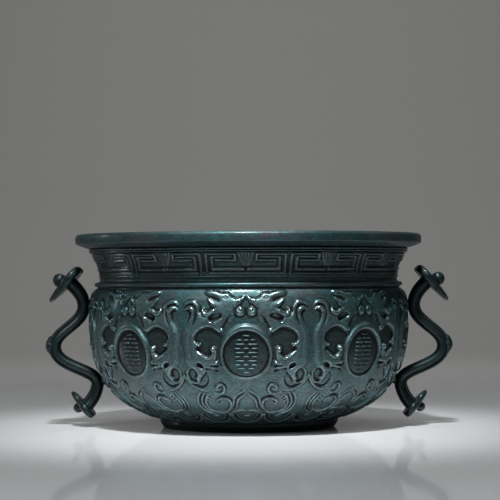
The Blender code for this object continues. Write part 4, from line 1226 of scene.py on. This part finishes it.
def head_frame(head, rod_end):
    """Matrix that stands a head on the end of the rod: tip at local +X, face at +Z."""
    along, face = head_directions(head)
    matrix = Matrix((along, face.cross(along), face)).transposed().to_4x4()
    matrix.translation = (rod_end + along * head["length"] * HEAD_SHIFT
                          + face * head["thickness"] / 2.0)
    return matrix


def bar_mesh(name, places, directions, runs, section):
    """Bar whose section is swept along a curve through places with their directions and runs."""
    data = bpy.data.curves.new(name, "CURVE")
    data.dimensions = "3D"
    data.resolution_u = 14
    spline = data.splines.new("BEZIER")
    spline.bezier_points.add(len(runs) - 1)
    knots = zip(spline.bezier_points, places, directions, runs)
    for point, place, direction, (back, ahead, girth) in knots:
        point.handle_left_type = "FREE"
        point.handle_right_type = "FREE"
        point.co = place
        point.handle_left = place - direction * back
        point.handle_right = place + direction * ahead
        point.radius = girth
    outline = bpy.data.meshes.new("section")
    count = len(section)
    outline.from_pydata([(-y, x, 0.0) for x, y in section],
                        [(i, (i + 1) % count) for i in range(count)], [])
    holder = bpy.data.objects.new("section", outline)
    bpy.context.scene.collection.objects.link(holder)
    mesh = grown(name, bpy.data.objects.new(name, data), made_once("Swept bar", swept_bar_tree),
                 {"Section": holder})
    bpy.data.objects.remove(holder)
    return mesh


def rod_section(thickness):
    """Cross-section of the rod: a rounded bar with a keel and a bead along its outer side."""
    points = []
    for angle in np.linspace(0.0, FULL_TURN, 64, endpoint=False):
        c, s = math.cos(angle), math.sin(angle)
        best = 0.0
        for centre, semi_out, semi_wide in ROD_FORMS:
            a = (c / semi_out) ** 2 + (s / semi_wide) ** 2
            b = -2.0 * centre * c / semi_out ** 2
            root = b * b - 4.0 * a * ((centre / semi_out) ** 2 - 1.0)
            if root > 0.0:
                best = max(best, (-b + math.sqrt(root)) / (2.0 * a))
        points.append((best * c * thickness / ROD_THICKNESS, best * s))
    return points


def rod_mesh(thickness):
    """The bent rod of the right handle."""
    upper_end, upper_seat, bend, lower_seat, lower_end = rod_stations()
    upper_out = head_directions(UPPER_HEAD)[1]
    lower_out = head_directions(LOWER_HEAD)[1]
    upper_end = upper_end + upper_out * UPPER_HEAD["thickness"] * HEAD_SINK
    lower_end = lower_end + lower_out * LOWER_HEAD["thickness"] * HEAD_SINK
    return bar_mesh("rod", (upper_end, upper_seat, bend, lower_seat, lower_end),
                    (-upper_out, DOWNWARD, DOWNWARD, DOWNWARD, lower_out),
                    ROD_RUNS, rod_section(thickness))


def boss_mesh():
    """Leaf-shaped swelling along the outside of the bend."""
    bend = rod_stations()[2]
    start, middle, end = (bend + Vector((x, 0.0, z)) for x, z in BOSS_PLACES)
    first = (middle - start).normalized()
    between = (start + middle) * 0.5 + Vector((BOSS_SWELL[0], 0.0, BOSS_SWELL[1]))
    out, wide = BOSS_SECTION
    section = [(out * math.cos(angle), wide * math.sin(angle))
               for angle in np.linspace(0.0, FULL_TURN, 28, endpoint=False)]
    return bar_mesh("boss", (start, between, middle, end),
                    (first, first, DOWNWARD, (end - middle).normalized()), BOSS_RUNS, section)


def cloud_outline(angle):
    """Reach of the ruyi head's three-lobed outline at an angle from its tip."""
    best = 0.0
    for turn, out, radius in HEAD_LOBES:
        cx, cy = out * math.cos(turn), out * math.sin(turn)
        along = cx * math.cos(angle) + cy * math.sin(angle)
        off = -cx * math.sin(angle) + cy * math.cos(angle)
        if abs(off) < radius:
            best = max(best, along + math.sqrt(radius * radius - off * off))
    return best


def head_mesh(head, frame_matrix):
    """Ruyi head: a cloud plate with a bevelled rim, a raised border and two scrolls."""
    mean, half = head["length"] / 2.0, head["thickness"] / 2.0
    steps, rings = 96, 26
    angles = np.linspace(0.0, FULL_TURN, steps, endpoint=False)
    reach = mean * np.array([cloud_outline(a) for a in angles])
    reach = 0.5 * reach + 0.25 * (np.roll(reach, 1) + np.roll(reach, -1))
    shares = (1.0 - (1.0 - np.linspace(0.0, 1.0, rings + 1)[1:]) ** 1.25)[:, None]
    x, y = shares * reach * np.cos(angles), shares * reach * np.sin(angles)
    inset = (1.0 - shares) * reach
    top = half * (0.45 + 0.55 * rounded(inset, HEAD_RIM))
    at, half_width, height = HEAD_BORDER
    top = top + height * rounded(half_width - np.abs(inset - at), half_width)
    at, width, depth = HEAD_DISH
    top = top - depth * eased(inset - at, width)
    half_width, height = SCROLL_LINE
    for side in (-1.0, 1.0):
        middle = 0.46 * mean * np.array([math.cos(LOBE_TURN), side * math.sin(LOBE_TURN)])
        t = np.linspace(0.0, 1.0, 40)
        swing, size = side * (0.4 + 8.2 * t), mean * 0.40 * (1.0 - 0.86 * t)
        path = middle + size[:, None] * np.stack([np.cos(swing), np.sin(swing)], 1)
        away, _ = distance_to_path(x, y, path)
        top = top + height * rounded(half_width - away, half_width)
    bottom = -half * (0.45 + 0.55 * rounded(inset, HEAD_RIM * 1.2))
    thin = 1.0 - (1.0 - head["tip_share"]) * np.maximum(x, 0.0) / reach[0]
    places = [(0.0, 0.0, half - depth), *np.stack([x, y, top * thin], -1).reshape(-1, 3),
              (0.0, 0.0, -half), *np.stack([x, y, bottom * thin], -1).reshape(-1, 3)]
    under = 2 + rings * steps
    last = (rings - 1) * steps
    faces = []
    for k in range(steps):
        n = (k + 1) % steps
        faces += [(0, 1 + k, 1 + n), (under - 1, under + n, under + k)]
        for a in range(0, last, steps):
            b = a + steps
            faces.append((1 + a + k, 1 + b + k, 1 + b + n, 1 + a + n))
            faces.append((under + a + n, under + b + n, under + b + k, under + a + k))
        faces.append((1 + last + k, under + last + k, under + last + n, 1 + last + n))
    mesh = new_mesh("head", places, faces)
    mesh.transform(frame_matrix)
    return mesh


def knob_mesh(head, frame_matrix):
    """Ball that stands on a head, with a small collar at its foot."""
    radius = head["ball_radius"]
    rise = head["thickness"] / 2.0 + head["ball_rise"]
    ball = [(radius * math.sin(a), rise + radius * math.cos(a)) for a in np.linspace(0.15, 2.2, 18)]
    foot, level = ball[-1]
    profile = [(0.0, rise + radius), *ball, (foot * 1.12, level - radius * 0.10),
               (foot * 1.16, level - radius * 0.30), (foot * 1.10, level - radius * 0.60),
               (0.0, level - radius * 0.62)]
    mesh = turned_mesh("knob", profile, 36)
    mesh.transform(frame_matrix @ Matrix.Translation((head["length"] * HEAD_SHIFT, 0.0, 0.0)))
    return mesh


def pad_mesh(height):
    """Short turned pad between the rod and the belly, with a flared foot."""
    ground, out = seat_place(height)
    reach, radius = ROD_THICKNESS / 2.0 + SEAT_STANDOFF, SEAT_PAD_RADIUS
    profile = [(0.0, reach), (radius, reach), (radius, 0.0022), (radius * 1.10, 0.0012),
               (radius * 1.30, 0.0004), (radius * 1.34, -0.0008), (0.0, -0.0008)]
    mesh = turned_mesh("pad", softened(profile, PAD_CORNER_RADIUS, 2), 32)
    turn = out.to_track_quat("Z", "Y").to_matrix().to_4x4()
    turn.translation = ground
    mesh.transform(turn)
    return mesh


def handle_mesh(thickness):
    """All of the right handle: rod, boss, seat pads, heads and balls."""
    upper_end, _, _, _, lower_end = rod_stations()
    parts = [rod_mesh(thickness), boss_mesh(), pad_mesh(UPPER_SEAT_Z), pad_mesh(LOWER_SEAT_Z)]
    for head, rod_end in ((UPPER_HEAD, upper_end), (LOWER_HEAD, lower_end)):
        matrix = head_frame(head, rod_end)
        parts += [head_mesh(head, matrix), knob_mesh(head, matrix)]

    def join(data):
        for part in parts:
            data.from_mesh(part)
            bpy.data.meshes.remove(part)
        smooth_faces(data)
        for face in data.faces:
            face.material_index = 0

    return reworked(bpy.data.meshes.new("handle"), join)


def noise(tree, vector, scale, detail, roughness=0.55, distortion=0.0):
    """Noise texture whose scale is a number or a socket; returns its factor."""
    return add_node(tree, "ShaderNodeTexNoise", {
        "Vector": vector, "Scale": scale, "Detail": detail, "Roughness": roughness,
        "Distortion": distortion}).outputs["Fac"]


def ranged(tree, value, low, high, to_low=0.0, to_high=1.0):
    """Value mapped from one range to another and kept inside it."""
    return add_node(tree, "ShaderNodeMapRange", {
        "Value": value, "From Min": low, "From Max": high, "To Min": to_low, "To Max": to_high},
        clamp=True, interpolation_type="SMOOTHSTEP").outputs["Result"]


def mixed(tree, factor, first, second, blend="MIX"):
    """Colour mix of two sockets or colours."""
    return add_node(tree, "ShaderNodeMix", {"Factor": factor, 6: first, 7: second},
                    data_type="RGBA", blend_type=blend).outputs[2]


def tinted(tree, colour, value):
    """Colour multiplied by a value."""
    tint = add_node(tree, "ShaderNodeCombineXYZ", {"X": value, "Y": value, "Z": value})
    return mixed(tree, 1.0, colour, tint.outputs[0], "MULTIPLY")


def stretched(tree, vector, factors):
    """Vector multiplied by a factor along each axis."""
    return add_node(tree, "ShaderNodeVectorMath", {0: vector, 1: factors},
                    operation="MULTIPLY").outputs[0]


def named_value(tree, name):
    """Value that a mesh stores for its vertices, read inside a material."""
    return add_node(tree, "ShaderNodeAttribute", attribute_type="GEOMETRY",
                    attribute_name=name).outputs["Fac"]


def patina_group(name):
    """Patina colour and roughness: mottled greens and browns, dark hollows with painted shade,
    rubbed edges with painted highlight, painted light low down and painted shade at the sides.
    """
    tree, given, leave = node_group(name, "ShaderNodeTree", (
        ("Vector", "Vector"), ("Ground", "Color"), ("Raised", "Color"), ("Hollow", "Color"),
        ("Brown", "Color"), ("Green", "Color"), ("Brown Share", "Float", 0.5),
        ("Green Share", "Float", 0.5), ("Swirl Scale", "Float", 60.0), ("Edge Wear", "Float", 1.0),
        ("Hollow Dirt", "Float", 1.0), ("Low Wear", "Float", 0.0), ("Side Patina", "Float", 0.0)),
        (("Color", "Color"), ("Roughness", "Float"), ("Wear", "Float")))

    def times(first, second):
        return maths(tree, "MULTIPLY", first, second)

    def higher(first, second):
        return maths(tree, "MAXIMUM", first, second)

    vector = given["Vector"]
    place = add_node(tree, "ShaderNodeSeparateXYZ", {0: vector}).outputs
    crest, lift = named_value(tree, "crest"), named_value(tree, "lift")
    flat = stretched(tree, vector, (1.0, 1.0, 2.2))

    # Ground: brown and green patches, and painted bounce light from the floor on the lower belly
    wide = ranged(tree, noise(tree, vector, 22.0, 3.0, 0.5, 0.4), 0.42, 0.62)
    swirl = ranged(tree, noise(tree, flat, given["Swirl Scale"], 6.0, 0.66, 1.2), 0.44, 0.64)
    base = mixed(tree, times(wide, given["Brown Share"]), given["Ground"], given["Brown"])
    base = mixed(tree, times(swirl, given["Green Share"]), base, given["Green"])
    # Painted bounce light: the lower belly is lightened towards the raised colour
    low = times(ranged(tree, place["Z"], 0.056, 0.030), given["Low Wear"])
    base = mixed(tree, low, base, given["Raised"])

    # Rubbed edges lightened with a painted highlight, and dark hollows of patina and painted shade
    grain = noise(tree, vector, 900.0, 3.0, 0.6)
    uneven = times(maths(tree, "SUBTRACT", grain, 0.5), 0.35)
    # Crests lightened: rubbed patina and a painted highlight; the same crests are also polished
    # smoother
    rubbed_and_lit_crest = ranged(tree, maths(tree, "ADD", crest, uneven), 0.10, 1.0)
    wear_and_highlight = times(rubbed_and_lit_crest, given["Edge Wear"])
    # Darker with depth and in creases: patina that gathers there, and painted shade
    deep = times(ranged(tree, lift, 0.0, -0.0009), 0.65)
    dirt_and_shade = times(higher(ranged(tree, crest, -0.15, -0.75), deep), given["Hollow Dirt"])
    # Painted light: the higher relief is lightened towards the raised colour
    high = times(ranged(tree, lift, 0.0002, 0.0019), 0.28)
    base = mixed(tree, higher(wear_and_highlight, high), base, given["Raised"])
    base = mixed(tree, dirt_and_shade, base, given["Hollow"])

    # Specks and brushed streaks
    streak = ranged(tree, noise(tree, flat, 380.0, 4.0, 0.65), 0.34, 0.66, 0.74, 1.28)
    base = tinted(tree, base, times(ranged(tree, grain, 0.30, 0.72, 0.80, 1.20), streak))

    # Deeper green patina at the bowl's sides, darkened there as painted shade where the light falls
    # off
    reach = higher(ranged(tree, place["X"], 0.044, 0.082), ranged(tree, place["X"], -0.060, -0.092))
    level = higher(ranged(tree, place["Z"], 0.058, 0.092),
                   ranged(tree, place["Z"], 0.050, 0.034, 0.0, 0.6))
    side = times(times(reach, level), given["Side Patina"])
    base = mixed(tree, side, base, SIDE_PATINA_AND_SHADE_TINT, "MULTIPLY")

    rough = maths(tree, "ADD", ranged(tree, swirl, 0.0, 1.0, 0.53, 0.47), times(dirt_and_shade, 0.25))
    rough = maths(tree, "SUBTRACT", rough, times(rubbed_and_lit_crest, 0.30))
    for socket, label in ((base, "Color"), (rough, "Roughness"), (wear_and_highlight, "Wear")):
        tree.links.new(socket, leave.inputs[label])
    return tree


def cast_grain_group(name):
    """Height of the fine cast skin: small pits and grains with faint brushed streaks."""
    tree, given, leave = node_group(name, "ShaderNodeTree", (
        ("Vector", "Vector"), ("Grain Scale", "Float", 700.0), ("Streaks", "Float", 0.5)),
        (("Height", "Float"),))
    grain = noise(tree, given["Vector"], given["Grain Scale"], 4.0, 0.6)
    streak = noise(tree, stretched(tree, given["Vector"], (0.16, 0.16, 1.0)), 1300.0, 3.0, 0.6, 0.6)
    height = maths(tree, "ADD", grain, maths(tree, "MULTIPLY", streak, given["Streaks"]))
    tree.links.new(height, leave.inputs["Height"])
    return tree


def bare_spot_group(name):
    """Mask of the few spots where the patina has worn through to copper."""
    tree, given, leave = node_group(name, "ShaderNodeTree", (
        ("Vector", "Vector"), ("Wear", "Float", 0.0), ("Spot Scale", "Float", 160.0)),
        (("Mask", "Float"),))
    spots = ranged(tree, noise(tree, given["Vector"], given["Spot Scale"], 2.0, 0.5), 0.66, 0.74)
    tree.links.new(maths(tree, "MULTIPLY", spots, given["Wear"]), leave.inputs["Mask"])
    return tree


def new_material(name):
    """Material with its tree, its shader and the socket of the object's own places."""
    material = bpy.data.materials.new(name)
    material.use_nodes = True
    tree = material.node_tree
    vector = tree.nodes.new("ShaderNodeTexCoord").outputs["Object"]
    return material, tree, tree.nodes["Principled BSDF"].inputs, vector


def patinated_metal(name, colours):
    """Material of patinated cast copper with its own share of each effect."""
    material, tree, shader, vector = new_material(name)
    effects = {**PLAIN_PATINA, **PATINAS[name]}
    shades = {label.title(): (*(effects["ground"] * c for c in getattr(colours, label)), 1.0)
              for label in ("ground", "raised", "hollow", "brown", "green")}
    shares = {label: effects[effect] for label, effect in PATINA_INPUTS.items()}
    patina = add_node(tree, "ShaderNodeGroup", {"Vector": vector, **shades, **shares},
                      node_tree=made_once("Patina And Painted Light", patina_group)).outputs
    colour = patina["Color"]
    if effects["spots"]:
        bare = add_node(tree, "ShaderNodeGroup", {"Vector": vector, "Wear": patina["Wear"]},
                        node_tree=made_once("Bare spots", bare_spot_group))
        strength = maths(tree, "MULTIPLY", bare.outputs["Mask"], effects["spots"])
        colour = mixed(tree, strength, colour, (*colours.copper, 1.0))
    skin = add_node(tree, "ShaderNodeGroup", {"Vector": vector, "Streaks": effects["streaks"]},
                    node_tree=made_once("Cast grain", cast_grain_group))
    bump = add_node(tree, "ShaderNodeBump", {
        "Strength": effects["grain"], "Distance": BUMP_DISTANCE, "Height": skin.outputs["Height"]})
    for socket, label in ((bump.outputs["Normal"], "Normal"), (colour, "Base Color"),
                          (patina["Roughness"], "Roughness")):
        tree.links.new(socket, shader[label])
    shader["Metallic"].default_value = colours.metallic
    shader["Coat Weight"].default_value = effects["coat"]
    shader["Coat Roughness"].default_value = COAT_ROUGHNESS
    material.diffuse_color = (*colours.ground, 1.0)
    return material


def darken_foot(mesh):
    """Keeps the foot ring of a turned mesh as dark as the hollows: dark patina and painted shade.
    """
    layer = mesh.attributes["crest"]
    crest = np.empty(len(mesh.vertices), np.float32)
    layer.data.foreach_get("value", crest)
    foot = vertex_array(mesh, "co")[:, 2] < FOOT_HEIGHT + 0.0004
    crest[foot] = np.minimum(crest[foot], FOOT_SHADE_CREST)
    layer.data.foreach_set("value", crest)


def belt_piece(name, panel, count, start, material):
    """Piece that repeats a mirrored panel evenly round the bowl."""
    source = bpy.data.objects.new(name, panel)
    mesh = grown(name, source, made_once("Mirrored belt", mirrored_belt_tree), {
        "Count": count, "Start": start, "Step": FULL_TURN / count, "Seam": SEAM,
        "Material": material})
    new_piece(name, reworked(mesh, close_ends))


class TREASUREBOWL_OT_core(bpy.types.Operator):
    """Turns the bowl's body: floor, lining, lip, neck, collar and foot ring"""

    bl_idname = "treasurebowl.core"
    bl_label = "Turn the Body"

    def execute(self, context):
        scene = context.scene
        mesh = turned_mesh("bowl_body", core_profile(), scene.bowl_sizes.turn_steps)
        crest_from_shape(mesh, TURNED_CREST, 1)
        darken_foot(mesh)
        material = patinated_metal("turned_patina", scene.bowl_colours)
        new_piece("bowl_body", mesh, material, "bowl")
        return {"FINISHED"}


class TREASUREBOWL_OT_frets(bpy.types.Operator):
    """Repeats the mirrored key fret round the neck"""

    bl_idname = "treasurebowl.frets"
    bl_label = "Set the Key Frets"

    def execute(self, context):
        scene = context.scene
        belt_piece("fret_belt", fret_panel(scene.bowl_sizes), FRET_PAIRS, FRONT_ANGLE,
                   patinated_metal("fret_patina", scene.bowl_colours))
        return {"FINISHED"}


class TREASUREBOWL_OT_belly(bpy.types.Operator):
    """Repeats the dragon and scroll relief round the belly"""

    bl_idname = "treasurebowl.belly"
    bl_label = "Raise the Belly Relief"

    def execute(self, context):
        scene = context.scene
        material = patinated_metal("belly_patina", scene.bowl_colours)
        for name, under_handle, sectors in BELLY_PIECES:
            belt_piece(name, belly_panel(scene.bowl_sizes, under_handle), 2,
                       FRONT_ANGLE + sectors * FULL_TURN / SECTORS, material)
        return {"FINISHED"}


class TREASUREBOWL_OT_marks(bpy.types.Operator):
    """Sets rows of short plain strokes inside the medallions"""

    bl_idname = "treasurebowl.marks"
    bl_label = "Set the Medallion Strokes"

    def execute(self, context):
        scene = context.scene
        across, down, length = mark_points()
        level = np.full(across.shape, -scene.bowl_sizes.hollow_depth - 0.0001)
        places = BELLY.place(across, down, level)
        ahead = BELLY.place(across, down, np.full(across.shape, 0.01)) - places
        aside = BELLY.place(across + 0.01, down, level) - places
        source = bpy.data.objects.new("medallion_marks", bpy.data.meshes.new("medallion_marks"))
        source.data.from_pydata(places.tolist(), [], [])
        for name, vectors in (("facing", ahead), ("sideways", aside)):
            layer = source.data.attributes.new(name, "FLOAT_VECTOR", "POINT")
            layer.data.foreach_set("vector", vectors.astype(np.float32).ravel())
        add_values(source.data, "length", length * BELLY.half_angle * BELLY_RADIUS)
        stroke = bpy.data.objects.new("stroke", stroke_mesh())
        scene.collection.objects.link(stroke)
        material = patinated_metal("mark_patina", scene.bowl_colours)
        mesh = grown("medallion_marks", source, made_once("Stroke rows", stroke_rows_tree), {
            "Stroke": stroke, "Count": SECTORS, "Start": FRONT_ANGLE, "Step": FULL_TURN / SECTORS,
            "Relief": scene.bowl_sizes.mark_relief, "Material": material})
        bpy.data.objects.remove(stroke)
        mesh.shade_smooth()
        crest_from_shape(mesh, MARK_CREST, 0)
        new_piece("medallion_marks", mesh)
        return {"FINISHED"}


class TREASUREBOWL_OT_handles(bpy.types.Operator):
    """Makes the two ruyi handles with their cloud heads, balls, bosses and seats"""

    bl_idname = "treasurebowl.handles"
    bl_label = "Make the Handles"

    def execute(self, context):
        scene = context.scene
        for name, turn in (("handle_right", 0.0), ("handle_left", math.pi)):
            mesh = handle_mesh(scene.bowl_sizes.rod_thickness)
            mesh.transform(Matrix.Rotation(turn, 4, "Z"))
            mesh.update()
            crest_from_shape(mesh, TURNED_CREST, 1)
            mesh.set_sharp_from_angle(angle=SHARP_ANGLE)
            material = patinated_metal("handle_patina", scene.bowl_colours)
            material.name = f"{name}_patina_metal"
            new_piece(f"ruyi_{name}", mesh, material, name)
        return {"FINISHED"}


def sweep_backdrop():
    """Floor that runs back and curves up into a backdrop."""
    width, front, back, height, bend = BACKDROP
    profile = [(y, 0.0) for y in (front, *BACKDROP_STATIONS)]
    profile += [(back - bend + bend * math.sin(angle), bend - bend * math.cos(angle))
                for angle in np.linspace(0.0, 0.5 * math.pi, BEND_STEPS + 1)]
    profile.append((back, height))
    places = [(x, y, z) for y, z in profile for x in (-width, width)]
    faces = [(a, a + 1, a + 3, a + 2) for a in range(0, 2 * len(profile) - 2, 2)]
    return new_mesh("studio_floor", places, faces)


def aimed_light(name, kind, place, target, power, **settings):
    """Light of a kind at a place that looks at a target."""
    data = bpy.data.lights.new(name, kind)
    data.energy = power
    for key, value in settings.items():
        setattr(data, key, value)
    lamp = bpy.data.objects.new(name, data)
    lamp.location = place
    lamp.rotation_euler = (Vector(target) - Vector(place)).to_track_quat("-Z", "Y").to_euler()
    bpy.context.scene.collection.objects.link(lamp)


def add_lights(studio):
    """The spots and the softboxes of the studio."""
    for name, place, target, setting, share, angle, radius in SPOTS:
        aimed_light(name, "SPOT", place, target, getattr(studio, setting) * share,
                    spot_size=math.radians(angle), spot_blend=1.0, shadow_soft_size=radius)
    for name, place, target, setting, share, (wide, tall), spread in SOFTBOXES:
        aimed_light(name, "AREA", place, target, getattr(studio, setting) * share,
                    shape="RECTANGLE", size=wide, size_y=tall, spread=math.radians(spread))


def floor_material(studio):
    """Pale satin floor that turns into a grey backdrop with its distance."""
    material, tree, shader, vector = new_material("studio_floor")
    back = add_node(tree, "ShaderNodeSeparateXYZ", {0: vector}).outputs["Y"]
    colour = mixed(tree, ranged(tree, back, -0.05, 1.25), (*studio.floor_colour, 1.0),
                   (*studio.wall_colour, 1.0))
    tone = ranged(tree, noise(tree, vector, 180.0, 3.0), 0.3, 0.7, 0.985, 1.015)
    tree.links.new(tinted(tree, colour, tone), shader["Base Color"])
    tree.links.new(ranged(tree, back, -0.12, 0.16, 0.05, 0.20), shader["Roughness"])
    shader["Specular IOR Level"].default_value = 0.14
    return material


def add_camera(scene):
    """Camera where the photograph was taken from."""
    data = bpy.data.cameras.new("camera")
    for key, value in CAMERA_LENS.items():
        setattr(data, key, value)
    place = Vector((CAMERA_DISTANCE * math.sin(CAMERA_TURN),
                    -CAMERA_DISTANCE * math.cos(CAMERA_TURN), CAMERA_HEIGHT))
    level = (Vector((0.0, 0.0, place.z)) - place).to_track_quat("-Z", "Y")
    camera = bpy.data.objects.new("camera", data)
    camera.matrix_world = (Matrix.Translation(place) @ level.to_matrix().to_4x4()
                           @ Matrix.Rotation(CAMERA_ROLL, 4, "Z"))
    scene.collection.objects.link(camera)
    scene.camera = camera


class TREASUREBOWL_OT_stage(bpy.types.Operator):
    """Sets the pale floor, the soft studio lights and the camera"""

    bl_idname = "treasurebowl.stage"
    bl_label = "Set the Studio"

    def execute(self, context):
        scene = context.scene
        mesh = sweep_backdrop()
        mesh.shade_smooth()
        mesh.materials.append(floor_material(scene.bowl_studio))
        floor = bpy.data.objects.new("studio_floor", mesh)
        scene.collection.objects.link(floor)
        add_lights(scene.bowl_studio)
        world = bpy.data.worlds.new("studio")
        world.use_nodes = True
        background = world.node_tree.nodes["Background"].inputs
        background["Color"].default_value = WORLD_GREY
        background["Strength"].default_value = WORLD_STRENGTH
        scene.world = world
        add_camera(scene)
        scene.view_settings.view_transform = "Standard"
        return {"FINISHED"}


class TREASUREBOWL_PT_panel(bpy.types.Panel):
    """Sizes, colours and steps of the treasure bowl"""

    bl_label = "Treasure Bowl"
    bl_idname = "TREASUREBOWL_PT_panel"
    bl_space_type = "VIEW_3D"
    bl_region_type = "UI"
    bl_category = "Treasure Bowl"

    def draw(self, context):
        scene = context.scene
        for title, group in (("Sizes", scene.bowl_sizes), ("Patina And Painted Light", scene.bowl_colours),
                             ("Studio", scene.bowl_studio)):
            box = self.layout.box()
            box.label(text=title)
            for name in group.__annotations__:
                box.prop(group, name)
        column = self.layout.column(align=True)
        for step in STEPS:
            column.operator(step.bl_idname)


STEPS = (
    TREASUREBOWL_OT_core,
    TREASUREBOWL_OT_frets,
    TREASUREBOWL_OT_belly,
    TREASUREBOWL_OT_marks,
    TREASUREBOWL_OT_handles,
    TREASUREBOWL_OT_stage,
)
CLASSES = (BowlSizes, PatinaColours, StudioSettings, *STEPS, TREASUREBOWL_PT_panel)


def register():
    """Registers the classes and the settings."""
    for item in CLASSES:
        bpy.utils.register_class(item)
    bpy.types.Scene.bowl_sizes = PointerProperty(type=BowlSizes)
    bpy.types.Scene.bowl_colours = PointerProperty(type=PatinaColours)
    bpy.types.Scene.bowl_studio = PointerProperty(type=StudioSettings)


def unregister():
    """Takes the settings and the classes away again."""
    del bpy.types.Scene.bowl_studio
    del bpy.types.Scene.bowl_colours
    del bpy.types.Scene.bowl_sizes
    for item in reversed(CLASSES):
        bpy.utils.unregister_class(item)


def main():
    """Makes every piece in order."""
    register()
    bpy.ops.treasurebowl.core()
    bpy.ops.treasurebowl.frets()
    bpy.ops.treasurebowl.belly()
    bpy.ops.treasurebowl.marks()
    bpy.ops.treasurebowl.handles()
    bpy.ops.treasurebowl.stage()


if __name__ == "__main__":
    main()
